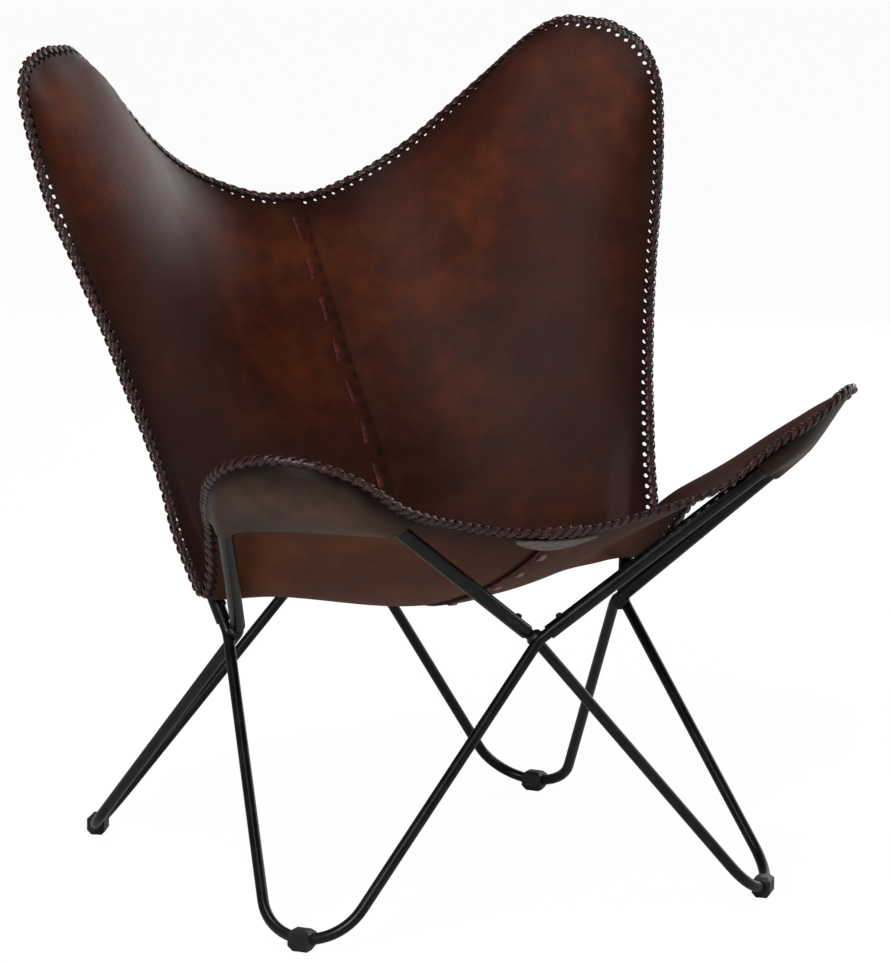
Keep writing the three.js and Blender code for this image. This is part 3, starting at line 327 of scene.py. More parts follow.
def scaled(tree, value, times, plus):
    """A value times a factor, plus a number or another value."""
    return add(tree, "Math", {0: value, 1: times, 2: plus}, operation="MULTIPLY_ADD").outputs[0]


def tinted(tree, value, *stops):
    """The colour that a value picks between stops, each a place and a colour."""
    return add(tree, "ValToRGB", {0: value}, ramp=stops).outputs[0]


def mixed(tree, share, under, over, blend="MIX"):
    inputs = {0: share, 6: under, 7: over}
    return add(tree, "Mix", inputs, data_type="RGBA", blend_type=blend).outputs[2]


def bumped(tree, strength, depth, height):
    inputs = {"Strength": strength, "Distance": depth, "Height": height}
    return add(tree, "Bump", inputs).outputs[0]


def finish_tree(tree, shader, kind="OutputMaterial"):
    out = add(tree, kind)
    tree.links.new(shader.outputs[0], out.inputs["Surface"])


def leather_material(
    name, dark, middle, warm, rough, grain, edge=None, cloud=70, gloss=0.13, height_shading=None
):
    """Waxed aniline leather: dyed through and rubbed with wax, so that it is cloudy where the
    wax is thin, glossy on a soft body, and pebbled with a fine grain. Edge is a colour mixed in
    by a point attribute: darker along cut edges, a painted shadow along the lap, and painted
    shade under the pockets' rims. The last argument gives two heights in metres, and how
    bright the leather is painted at each: painted shade low down towards the seat, and painted
    light high up on the wings."""
    made, tree = material(name)
    place = add(tree, "TexCoord").outputs["Object"]
    clouds = noise(tree, place, 2.2 * cloud, 5.0, 0.55)
    patches = noise(tree, place, 0.45 * cloud, 4.0, 0.6)
    amount = scaled(tree, patches, 0.5, scaled(tree, clouds, 0.72, -0.11))
    colour = tinted(
        tree, amount, (0.3, linear(dark)), (0.74, linear(warm)), (0.5, linear(middle))
    )
    # Edge colour by the point attribute: darker along cut edges, painted shadow along the lap,
    # painted shade under pocket rims
    if edge:
        near = add(tree, "Attribute", attribute_name="burnish").outputs["Fac"]
        colour = mixed(tree, near, colour, linear(edge))
    pores = add(
        tree,
        "TexVoronoi",
        {"Vector": place, "Scale": 1000 / 1.7, "Randomness": 1.0},
        feature="DISTANCE_TO_EDGE",
    ).outputs[0]
    pebbles = tinted(tree, pores, (0.0, grey(0.0)), (0.22, grey(1.0)))
    wrinkles = noise(tree, place, 9, 6.0, 0.62, 0.6)
    shade = scaled(tree, pebbles, 0.14, 0.86)
    # Painted light and shade by height: darker low down towards the seat, brighter high up on the
    # wings
    if height_shading:
        level = add(tree, "SeparateXYZ", {0: place}).outputs["Z"]
        height_light = add(tree, "MapRange", {0: level, 1: height_shading[0], 2: height_shading[1], 3: height_shading[2], 4: height_shading[3]})
        shade = add(tree, "Math", {0: shade, 1: height_light.outputs[0]}, operation="MULTIPLY").outputs[0]
    inputs = {
        "Base Color": mixed(tree, 1.0, colour, shade, "MULTIPLY"),
        "Roughness": scaled(tree, patches, 0.22, rough - 0.11),
        "IOR": 1.5,
        "Specular IOR Level": gloss,
        "Normal": bumped(tree, grain, 0.00035, scaled(tree, wrinkles, 2.4, pebbles)),
    }
    finish_tree(tree, add(tree, "BsdfPrincipled", inputs))
    return made


def lacquer_material(name, base, thin, rough, bump_depth, grain):
    """Black lacquer on steel: sprayed and stoved, a hard thin gloss with a slight ripple, and
    rubbed a little thinner in streaks. Blackened screws are the same but duller, and glides
    of moulded polyethylene are satin, with a fine dimple from the mould."""
    made, tree = material(name)
    place = add(tree, "TexCoord").outputs["Object"]
    wear = noise(tree, place, 22, 5.0, 0.65)
    ripple = noise(tree, place, grain, 3.0)
    inputs = {
        "Base Color": tinted(tree, wear, (0.42, linear(base)), (0.72, linear(thin))),
        "Roughness": scaled(tree, wear, 0.24, rough - 0.12),
        "IOR": 1.5,
        "Specular IOR Level": 0.22,
        "Normal": bumped(tree, 0.35, bump_depth, ripple),
        "Coat Weight": 0.1,
        "Coat Roughness": 0.12,
    }
    finish_tree(tree, add(tree, "BsdfPrincipled", inputs))
    return made


def suede_material(name, dark, pale):
    """Split leather, flesh side out: brushed fibres, matt, with a soft nap."""
    made, tree = material(name)
    place = add(tree, "TexCoord").outputs["Object"]
    nap = noise(tree, place, 7, 8.0, 0.7)
    inputs = {
        "Base Color": tinted(tree, nap, (0.3, linear(dark)), (0.7, linear(pale))),
        "Roughness": 0.75,
        "IOR": 1.45,
        "Normal": bumped(tree, 0.5, 0.0004, nap),
        "Sheen Weight": 0.25,
    }
    finish_tree(tree, add(tree, "BsdfPrincipled", inputs))
    return made


# Painted light and shade by height on the sling's grain side: darker towards the seat, brighter on
# the wings
HEIGHT_SHADING = (0.4, 0.86, 0.5, 1.16)
SLING_LEATHER = leather_material(
    "waxed aniline leather, grain side", "36160b", "4a2010", "6a3016", 0.42, 0.3, "240e07", height_shading=HEIGHT_SHADING
)
# The flesh side also takes the darker edges and the painted shadow along the lap
FLESH_LEATHER = leather_material(
    "waxed aniline leather, flesh side", "44200f", "5a2e17", "704020", 0.55, 0.4, edge="2a150c"
)
# The pocket's edge colour is painted shade where the plait shades the pocket under its rim
POCKET_LEATHER = leather_material(
    "pocket leather, smooth", "382720", "4c392d", "5e483a", 0.42, 0.18, edge="120906", cloud=45
)
PLAIT_LEATHER = leather_material(
    "lacing thong, dyed dark", "1a0908", "311310", "522824", 0.27, 0.25, cloud=9, gloss=0.55
)
LACE_LEATHER = leather_material(
    "seam thong, dyed red brown", "280b08", "451510", "6e2e20", 0.45, 0.3, cloud=14, gloss=0.2
)
LACE_FLESH = suede_material("seam thong, flesh side", "6a4a3c", "9a7664")
PATCH_LEATHER = suede_material("patch of split leather", "4a3a30", "7e6c61")
FRAME_LACQUER = lacquer_material("black lacquered steel", "090909", "1b1b18", 0.3, 0.00008, 3.0)
WELD_LACQUER = lacquer_material("lacquered weld bead", "121211", "2a2925", 0.42, 0.0005, 4.0)
SCREW_BLACK = lacquer_material("blackened screw", "161615", "38362f", 0.36, 0.00005, 2.0)
GLIDE_PLASTIC = lacquer_material("black polyethylene glide", "1d1d1e", "39393a", 0.5, 0.0002, 1.6)


# Mesh helpers


def unit(v):
    return v / np.linalg.norm(v, axis=-1, keepdims=True)


def only(piece):
    bpy.ops.object.select_all(action="DESELECT")
    piece.select_set(True)
    bpy.context.view_layer.objects.active = piece


def mesh_piece(name, points, faces, *materials):
    mesh = bpy.data.meshes.new(name)
    mesh.from_pydata((np.asarray(points) * MM).tolist(), [], faces)
    mesh.update()
    piece = bpy.data.objects.new(name, mesh)
    bpy.context.scene.collection.objects.link(piece)
    for one in materials:
        mesh.materials.append(one)
    return piece


def apply_modifier(piece, kind, **settings):
    only(piece)
    modifier = piece.modifiers.new(kind.lower(), kind)
    for key, value in settings.items():
        setattr(modifier, key, value)
    bpy.ops.object.modifier_apply(modifier=modifier.name)


def smooth(piece, degrees):
    only(piece)
    bpy.ops.object.shade_smooth_by_angle(angle=math.radians(degrees))


def face_outward(piece, merge=None):
    """Turns a mesh's faces outward, after merging points that lie within a distance."""
    only(piece)
    bpy.ops.object.mode_set(mode="EDIT")
    bpy.ops.mesh.select_all(action="SELECT")
    if merge:
        bpy.ops.mesh.remove_doubles(threshold=merge)
    bpy.ops.mesh.normals_make_consistent(inside=False)
    bpy.ops.object.mode_set(mode="OBJECT")


def grid_faces(index):
    """Faces between the points of a grid, given by their numbers."""
    corners = [index[:-1, :-1], index[1:, :-1], index[1:, 1:], index[:-1, 1:]]
    return np.stack(corners, axis=-1).reshape(-1, 4).tolist()


def ribbon_faces(rings, sides, closed=False):
    """Faces of a run of rings, closed at both ends or into itself."""
    faces = []
    for k in range(rings if closed else rings - 1):
        low, high = k * sides, (k + 1) % rings * sides
        for j in range(sides):
            n = (j + 1) % sides
            faces.append((low + j, high + j, high + n, low + n))
    if not closed:
        faces.append(tuple(range(sides)))
        faces.append(tuple(range((rings - 1) * sides, rings * sides))[::-1])
    return faces


def lengths_along(points):
    """How far along a line each of its points lies."""
    return np.concatenate([[0], np.cumsum(np.linalg.norm(np.diff(points, axis=0), axis=1))])


def burnish(piece, amounts):
    """Stores how dark each point is painted: darker along cut edges, a painted shadow along the lap,
    and painted shade under a pocket's rim.
    """
    layer = piece.data.attributes.new("burnish", "FLOAT", "POINT")
    layer.data.foreach_set("value", amounts.astype(np.float32))


def stand_for(piece, slot, *nodes):
    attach(piece, "root")
    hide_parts(*nodes)


# Steel frame


class Bend:
    """The round that joins the two legs of the corner b."""

    def __init__(self, a, b, c, radius):
        to_a, to_c = unit(a - b), unit(c - b)
        half = math.acos(float(np.clip(to_a @ to_c, -1, 1))) / 2
        self.inward = unit(to_a + to_c)
        self.across = unit(to_a - to_c)
        self.centre = b + self.inward * radius / math.sin(half)
        self.turn = math.pi / 2 - half
        self.radius = radius
        self.axis = unit(np.cross(b - a, c - b))

    def at(self, share):
        angle = self.turn * (1 - 2 * share)
        outward = -self.inward * math.cos(angle) + self.across * math.sin(angle)
        return self.centre + outward * self.radius

    def lowest(self):
        down = unit(-self.inward * self.inward[2] - self.across * self.across[2])
        return self.centre + down * self.radius


def foot_corner(place, a, b):
    """A foot's corner, so low that the rod's lowest point is at the height of a glide's bore."""
    corner = np.array(place)
    for _ in range(FOOT_PASSES):
        corner[2] += FOOT_ROD_HEIGHT - Bend(a, corner, b, FOOT_BEND_RADIUS).lowest()[2]
    return corner


crossings = {name: np.array(place) for name, place in CROSSINGS.items()}
loop_corners = {name: np.array(place) for name, place in LOOP_CORNERS.items()}

# Each rod's loops, the crossings that it passes, and on which side of the other rod
RODS = {
    "front_left": (("arm_right", "back_left"), ("front", "left"), (1, 1)),
    "front_right": (("arm_left", "back_right"), ("front", "right"), (-1, 1)),
    "back_left": (("back_right", "arm_left"), ("back", "left"), (1, -1)),
    "back_right": (("back_left", "arm_right"), ("back", "right"), (-1, -1)),
}


def crossing_normal(name):
    """The way out of a crossing, square to both of its rods."""
    place = crossings[name]
    chords = []
    for foot, (ends, through, _) in RODS.items():
        if name not in through:
            continue
        upward = unit(loop_corners[ends[through.index(name)]] - place)
        low = foot_corner(FOOT_PLACES[foot], *(crossings[other] for other in through))
        chords.append(unit(upward - unit(low - place)))
    normal = unit(np.cross(*chords))
    return -normal if normal[:2] @ place[:2] < 0 else normal


def bent_round(name, corners, radii, diameter, sides, steps):
    """A round bar or tube drawn as by hand: a circle, extruded along each leg and spun round
    each bend."""
    points = [Vector(corner) * MM for corner in corners]
    way = (points[1] - points[0]).normalized()
    bpy.ops.object.select_all(action="DESELECT")
    bpy.ops.mesh.primitive_circle_add(
        vertices=sides,
        radius=diameter / 2 * MM,
        location=points[0],
        rotation=way.to_track_quat("Z", "Y").to_euler(),
    )
    piece = bpy.context.object
    piece.name = piece.data.name = name
    bpy.ops.object.transform_apply(location=True, rotation=True, scale=True)
    bpy.ops.object.mode_set(mode="EDIT")
    bpy.ops.mesh.select_all(action="SELECT")
    at = points[0]
    for i, radius in enumerate(radii, start=1):
        bend = Bend(*corners[i - 1 : i + 2], radius)
        move = Vector(bend.at(0)) * MM - at
        bpy.ops.mesh.extrude_region_move(TRANSFORM_OT_translate={"value": move})
        bpy.ops.mesh.spin(
            steps=steps[i - 1],
            angle=-2 * bend.turn,
            center=Vector(bend.centre) * MM,
            axis=Vector(bend.axis),
        )
        at = Vector(bend.at(1)) * MM
    bpy.ops.mesh.extrude_region_move(TRANSFORM_OT_translate={"value": points[-1] - at})
    bpy.ops.object.mode_set(mode="OBJECT")
    face_outward(piece, 0.00001)
    return piece


loop_ends = {}
for foot, (ends, through, outside) in RODS.items():
    offset = (ROD_DIAMETER + PIECE_GAP) / 2
    turns = [
        crossings[name] + crossing_normal(name) * offset * side
        for name, side in zip(through, outside)
    ]
    ways = [unit(loop_corners[loop] - turn) for loop, turn in zip(ends, turns)]
    for loop, turn, way, crossing in zip(ends, turns, ways, through):
        loop_ends.setdefault(loop, []).append((turn, way, crossing))
    stubs = [turn + way * (TUBE_END_GAP + STUB_LENGTH) for turn, way in zip(turns, ways)]
    corner = foot_corner(FOOT_PLACES[foot], *turns)
    rod = bent_round(
        "rod_" + foot,
        [stubs[0], turns[0], corner, turns[1], stubs[1]],
        [KINK_RADIUS, FOOT_BEND_RADIUS, KINK_RADIUS],
        ROD_DIAMETER,
        ROD_SIDES,
        [KINK_STEPS, FOOT_STEPS, KINK_STEPS],
    )
    bpy.ops.object.mode_set(mode="EDIT")
    bpy.ops.mesh.fill_holes(sides=0)
    bpy.ops.object.mode_set(mode="OBJECT")
    smooth(rod, 40)
    rod.data.materials.append(FRAME_LACQUER)
    stand_for(rod, "frame_steel", "base_rod_" + foot)


class Loop:
    """A hairpin of tube: its middle line, bend and plane."""


loops = {}
for name, ends in loop_ends.items():
    where, side = name.split("_")
    loop = Loop()
    loop.corner = loop_corners[name]
    loop.starts = [turn + way * TUBE_END_GAP for turn, way, _ in ends]
    loop.crossings = [crossing for _, _, crossing in ends]
    corners = [loop.starts[0], loop.corner, loop.starts[1]]
    loop.bend = Bend(*corners, LOOP_BEND_RADIUS[where])
    plane = unit(np.cross(loop.starts[0] - loop.corner, loop.starts[1] - loop.corner))
    loop.plane = plane if plane[2] > 0 else -plane
    arc = [loop.bend.at(k / LOOP_LINE_STEPS) for k in range(LOOP_LINE_STEPS + 1)]
    loop.line = np.array([loop.starts[0], *arc, loop.starts[1]])
    loops[name] = loop
    radii = [LOOP_BEND_RADIUS[where]]
    tube = bent_round("tube_" + name, corners, radii, TUBE_DIAMETER, TUBE_SIDES, [LOOP_STEPS])
    apply_modifier(tube, "SOLIDIFY", thickness=TUBE_WALL * MM, offset=-1)
    smooth(tube, 40)
    tube.data.materials.append(FRAME_LACQUER)
    stand_for(tube, "frame_steel", f"{where}_loop_{side}")


def screw_mesh():
    """A domed screw head with its socket, on +Z from the tube's skin."""
    bpy.ops.object.select_all(action="DESELECT")
    bpy.ops.mesh.primitive_cylinder_add(
        vertices=SCREW_SIDES,
        radius=SCREW_HEAD_RADIUS * MM,
        depth=SCREW_HEAD_HEIGHT * MM,
        location=(0, 0, SCREW_HEAD_HEIGHT / 2 * MM),
    )
    head = bpy.context.object
    bpy.ops.object.transform_apply(location=True, rotation=True, scale=True)
    bpy.ops.object.mode_set(mode="EDIT")
    bpy.ops.mesh.select_all(action="DESELECT")
    edit = bmesh.from_edit_mesh(head.data)
    top = SCREW_HEAD_HEIGHT * MM - 1e-5
    for edge in edit.edges:
        edge.select_set(all(v.co.z > top for v in edge.verts))
    bmesh.update_edit_mesh(head.data)
    bpy.ops.mesh.bevel(offset=SCREW_DOME * MM, segments=SCREW_DOME_STEPS, affect="EDGES")
    bpy.ops.mesh.select_all(action="DESELECT")
    bpy.ops.mesh.select_mode(type="FACE")
    edit = bmesh.from_edit_mesh(head.data)
    for face in edit.faces:
        face.select_set(face.normal.z > 0.99 and face.calc_center_median().z > top)
    bmesh.update_edit_mesh(head.data)
    bpy.ops.mesh.inset(thickness=(SCREW_HEAD_RADIUS - SCREW_DOME - SCREW_SOCKET_RADIUS) * MM)
    bpy.ops.mesh.extrude_region_move(
        TRANSFORM_OT_translate={"value": (0, 0, -SCREW_SOCKET_DEPTH * MM)}
    )
    bpy.ops.object.mode_set(mode="OBJECT")
    smooth(head, 50)
    mesh = head.data
    bpy.data.objects.remove(head)
    return mesh


screw = screw_mesh()
for name, ends in loop_ends.items():
    for turn, way, crossing in ends:
        upward = np.array([0.0, 0.0, 1.0])
        upward = unit(upward - way * (upward @ way))
        seat = turn + way * (TUBE_END_GAP + SCREW_FROM_TUBE_END)
        seat = seat + upward * (TUBE_DIAMETER / 2)
        mesh = screw.copy()
        turned = Vector(upward).to_track_quat("Z", "Y").to_matrix().to_4x4()
        mesh.transform(Matrix.Translation(Vector(seat) * MM) @ turned)
        head = bpy.data.objects.new(f"screw_head_{name}_{crossing}", mesh)
        bpy.context.scene.collection.objects.link(head)
        mesh.materials.append(SCREW_BLACK)
        stand_for(head, "screw_steel", f"screw_{name}_{crossing}")


def weld_bead(name):
    """A lump of weld in a crossing: a ball drawn into ripples, as the bead was laid."""
    normal = Vector(crossing_normal(name))
    bpy.ops.object.select_all(action="DESELECT")
    bpy.ops.mesh.primitive_uv_sphere_add(
        segments=WELD_SIDES,
        ring_count=WELD_RINGS,
        radius=WELD_RADIUS * MM,
        location=Vector(crossings[name]) * MM,
        rotation=normal.to_track_quat("Z", "Y").to_euler(),
    )
    bead = bpy.context.object
    bead.name = bead.data.name = "weld_bead_" + name
    middle = bead.location.copy()
    bpy.ops.object.transform_apply(location=True, rotation=True, scale=True)
    for vertex in bead.data.vertices:
        out = vertex.co - middle
        flat = out - normal * out.dot(normal)
        turn = math.atan2(flat.cross(normal).dot(Vector((0, 0, 1))), flat.z)
        lift = out.dot(normal) * WELD_FLAT_PER_METRE
        ripple = 1 - WELD_RIPPLE_SHARE * (1 + math.sin(WELD_RIPPLES * turn))
        vertex.co = middle + out * (ripple - WELD_FLAT_SHARE * lift**2)
    smooth(bead, 60)
    bead.data.materials.append(WELD_LACQUER)
    stand_for(bead, "weld_steel", "weld_" + name)


for name in CROSSINGS:
    weld_bead(name)

for foot in RODS:
    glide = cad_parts["foot_glide_" + foot]
    merge = glide.modifiers.new("merge", "WELD")
    merge.merge_threshold = 0.00002
    rounding = glide.modifiers.new("rounding", "BEVEL")
    rounding.width = GLIDE_ROUND * MM
    rounding.segments = GLIDE_ROUND_STEPS
    rounding.limit_method = "ANGLE"
    for i in range(len(glide.material_slots)):
        glide.material_slots[i].material = GLIDE_PLASTIC


# Sling surface: a thin plate over a tilted plane, held at its edge, its middle line and the
# ridges over the loops. In the plane a place is x and w, and h is the height over it.


def to_plate(p):
    p = np.atleast_2d(p)
    c, s = math.cos(SLING_TILT), math.sin(SLING_TILT)
    return np.stack([p[:, 0], p[:, 1] * c + p[:, 2] * s, p[:, 2] * c - p[:, 1] * s], axis=1)


def from_plate(x, w, h):
    c, s = math.cos(SLING_TILT), math.sin(SLING_TILT)
    return np.stack([x, w * c - h * s, w * s + h * c], axis=-1)


def thin_plate(knots, heights, span):
    """The height of the smoothest plate through knots in a plane."""
    knots = np.asarray(knots) / span

    def kernel(places):
        square = ((places[:, None, :] - knots[None]) ** 2).sum(-1)
        return np.where(square > 0, square * np.log(np.maximum(square, 1e-30)), 0.0)

    n = len(knots)
    trend = np.column_stack([np.ones(n), knots])
    system = np.zeros((n + 3, n + 3))
    system[:n, :n] = kernel(knots)
    system[:n, n:] = trend
    system[n:, :n] = trend.T
    weights = np.linalg.solve(system, np.concatenate([np.asarray(heights) / span, np.zeros(3)]))

    def height(x, y):
        places = np.column_stack([np.ravel(x), np.ravel(y)]) / span
        full = np.column_stack([kernel(places), np.ones(len(places)), places])
        return (full @ weights * span).reshape(np.shape(x))

    return height


def mirrored(points):
    return np.asarray(points) * np.array([-1.0, 1.0, 1.0])


edges = {}
for side in SIGN:
    rows = [*FRONT_SHARES, *ARM_SHARES[side], *SIDE_SHARES[side]]
    rows += [*WING_SHARES[side], *TOP_SHARES[side]]
    places = np.array(rows) * SLING_SIZE
    edges[side] = places if side == "right" else mirrored(places)
LAST = len(edges["right"]) - 1


def ridge_knots(loop, bend_shares, leg_shares):
    places = [loop.bend.at(share) for share in bend_shares]
    for i, start in enumerate(loop.starts):
        end = loop.bend.at(i)
        shares = leg_shares.get(loop.crossings[i], leg_shares.get("side", []))
        places += [end + (start - end) * share for share in shares]
    return [p + loop.plane * RIDGE for p in places]


knots = [*edges["right"], *edges["left"][1:-1], *np.array(MIDDLE_SHARES) * SLING_SIZE]
for side in SIGN:
    inside = np.array([*ACROSS_SHARES[side], *CREST_SHARES[side]]) * SLING_SIZE
    knots += [*(inside if side == "right" else mirrored(inside))]
    knots += ridge_knots(loops["back_" + side], BACK_BEND_SHARES, BACK_LEG_SHARES)
    knots += ridge_knots(loops["arm_" + side], ARM_BEND_SHARES, {})
flat = to_plate(np.array(knots))
plate = thin_plate(flat[:, :2], flat[:, 2], SLING_SIZE[1])


def on_plate(x, w):
    return from_plate(x, w, plate(x, w))


def plate_normal(x, w):
    step = LEATHER_THICKNESS
    slope_x = (plate(x + step, w) - plate(x - step, w)) / (2 * step)
    slope_w = (plate(x, w + step) - plate(x, w - step)) / (2 * step)
    return unit(from_plate(-slope_x, -slope_w, np.ones_like(slope_x)))


def along_edge(side, t):
    """Points of the edge line at the values t, through its knots."""
    line = np.vstack([edges[OTHER[side]][1], edges[side], edges[OTHER[side]][LAST - 1]])
    at = np.clip(np.floor(t).astype(int), 0, LAST - 1)
    f = (t - at)[:, None]
    p, q, r, s = (line[at + k] for k in range(4))
    return 0.5 * (
        2 * q + (r - p) * f + (2 * p - 5 * q + 4 * r - s) * f**2 + (3 * q - p - 3 * r + s) * f**3
    )


def inside_edge(side, t, distance):
    """Places in the plane at a distance inside the edge line's points t."""
    step = 0.05
    here = to_plate(along_edge(side, t))
    behind = along_edge(side, np.maximum(t - step, 0))
    ahead = along_edge(side, np.minimum(t + step, LAST))
    along = unit(ahead - behind)
    normal = plate_normal(here[:, 0], here[:, 1])
    inward = unit(np.cross(normal, along)) * SIGN[side]
    moved = to_plate(on_plate(here[:, 0], here[:, 1]) + inward * distance)
    return moved[:, :2]


def evenly(side, start, end, count):
    """Values between two of the edge line's, at equal lengths along it."""
    samples = np.linspace(start, end, EDGE_SAMPLES)
    cut = inside_edge(side, samples, LACE_OVERHANG + HOLE_FROM_CUT)
    points = on_plate(cut[:, 0], cut[:, 1])
    lengths = lengths_along(points)
    return np.interp(np.linspace(0, lengths[-1], count + 1), lengths, samples)


half_steps = {}
for side in SIGN:
    front = evenly(side, 0, ARM_CORNER, 2 * FRONT_HOLES)
    flank = evenly(side, ARM_CORNER, WING_CORNER, 2 * SIDE_HOLES)
    top = evenly(side, WING_CORNER, LAST, 2 * FRONT_HOLES)
    half_steps[side] = np.concatenate([front, flank[1:], top[1:]])


def inset_line(side, distance):
    """The half's border at a distance inside the edge line, with one hole's width more at
    each end, taken from the other half."""
    own, other = half_steps[side], half_steps[OTHER[side]]
    return np.vstack(
        [
            inside_edge(OTHER[side], other[[2, 1]], distance),
            inside_edge(side, own, distance),
            inside_edge(OTHER[side], other[[-2, -3]], distance),
        ]
    )


def distance_to_lines(points, lines):
    best = np.full(len(points), 1e9)
    for line in lines:
        for a, b in zip(line[:-1], line[1:]):
            way = b - a
            share = np.clip((points - a) @ way / (way @ way), 0, 1)
            gap = np.linalg.norm(points - a - share[:, None] * way, axis=1)
            best = np.minimum(best, gap)
    return best


def lift_clear(points, normals, clear, lines):
    """Moves points along their normals until they are clear of the tubes, and what is near
    them a little less, so that the leather stays fair."""
    points = points.copy()
    for _ in range(LIFT_PASSES):
        short = clear - distance_to_lines(points, lines)
        low = np.flatnonzero(short > LIFT_TOLERANCE)
        if not len(low):
            break
        lift = np.zeros(len(points))
        for start in range(0, len(low), BATCH):
            some = low[start : start + BATCH]
            square = ((points[:, None, :] - points[None, some]) ** 2).sum(-1)
            reach = short[some] * np.exp(-square / (2 * LIFT_SPREAD**2))
            lift = np.maximum(lift, reach.max(axis=1))
        points += normals * lift[:, None]
    return points


def relax(border, columns, rows):
    """Fills a grid from its border, evenly."""
    grid = border.copy()
    u = np.linspace(0, 1, columns + 1)[:, None, None]
    v = np.linspace(0, 1, rows + 1)[None, :, None]
    low, high = grid[:, :1], grid[:, -1:]
    first, last = grid[:1], grid[-1:]
    corners = (
        (1 - u) * (1 - v) * grid[:1, :1]
        + u * (1 - v) * grid[-1:, :1]
        + (1 - u) * v * grid[:1, -1:]
        + u * v * grid[-1:, -1:]
    )
    filled = (1 - u) * first + u * last + (1 - v) * low + v * high - corners
    grid[1:-1, 1:-1] = filled[1:-1, 1:-1]
    for _ in range(EVEN_PASSES):
        grid[1:-1, 1:-1] = (
            grid[:-2, 1:-1] + grid[2:, 1:-1] + grid[1:-1, :-2] + grid[1:-1, 2:]
        ) / 4
    return grid


COLUMNS = 2 * (FRONT_HOLES + 1)
ROWS = 2 * SIDE_HOLES
AROUND = 2 * COLUMNS + ROWS
LAP_SHIFT = (LEATHER_THICKNESS + LAP_GAP) / 2
LEATHER_CLEAR = TUBE_DIAMETER / 2 + LEATHER_THICKNESS / 2 + PIECE_GAP
PLAIT_REACH = LEATHER_THICKNESS / 2 + STRAND_SEAT + 2 * STRAND_THICKNESS
PLAIT_CLEAR = TUBE_DIAMETER / 2 + PLAIT_REACH + PIECE_GAP
POCKET_LAYER = POCKET_THICKNESS + POCKET_CLEAR


class Half:
    """One half of the sling: its points, faces, and the frames of its border."""


def pocket_share(side, t):
    """1 where the arm's pocket is laced in under the edge at t, falling to 0 past its ends."""
    start, end = POCKET_ENDS["arm"][side]
    return np.clip(1 - np.maximum(start - t, t - end) / POCKET_RAMP, 0, 1)


def lap_share(x):
    """1 where the two panels lie on each other, 0 where each lies alone."""
    share = np.clip((np.abs(x) - LAP_EDGE) / LAP_FADE, 0, 1)
    return 1 - share * share * (3 - 2 * share)


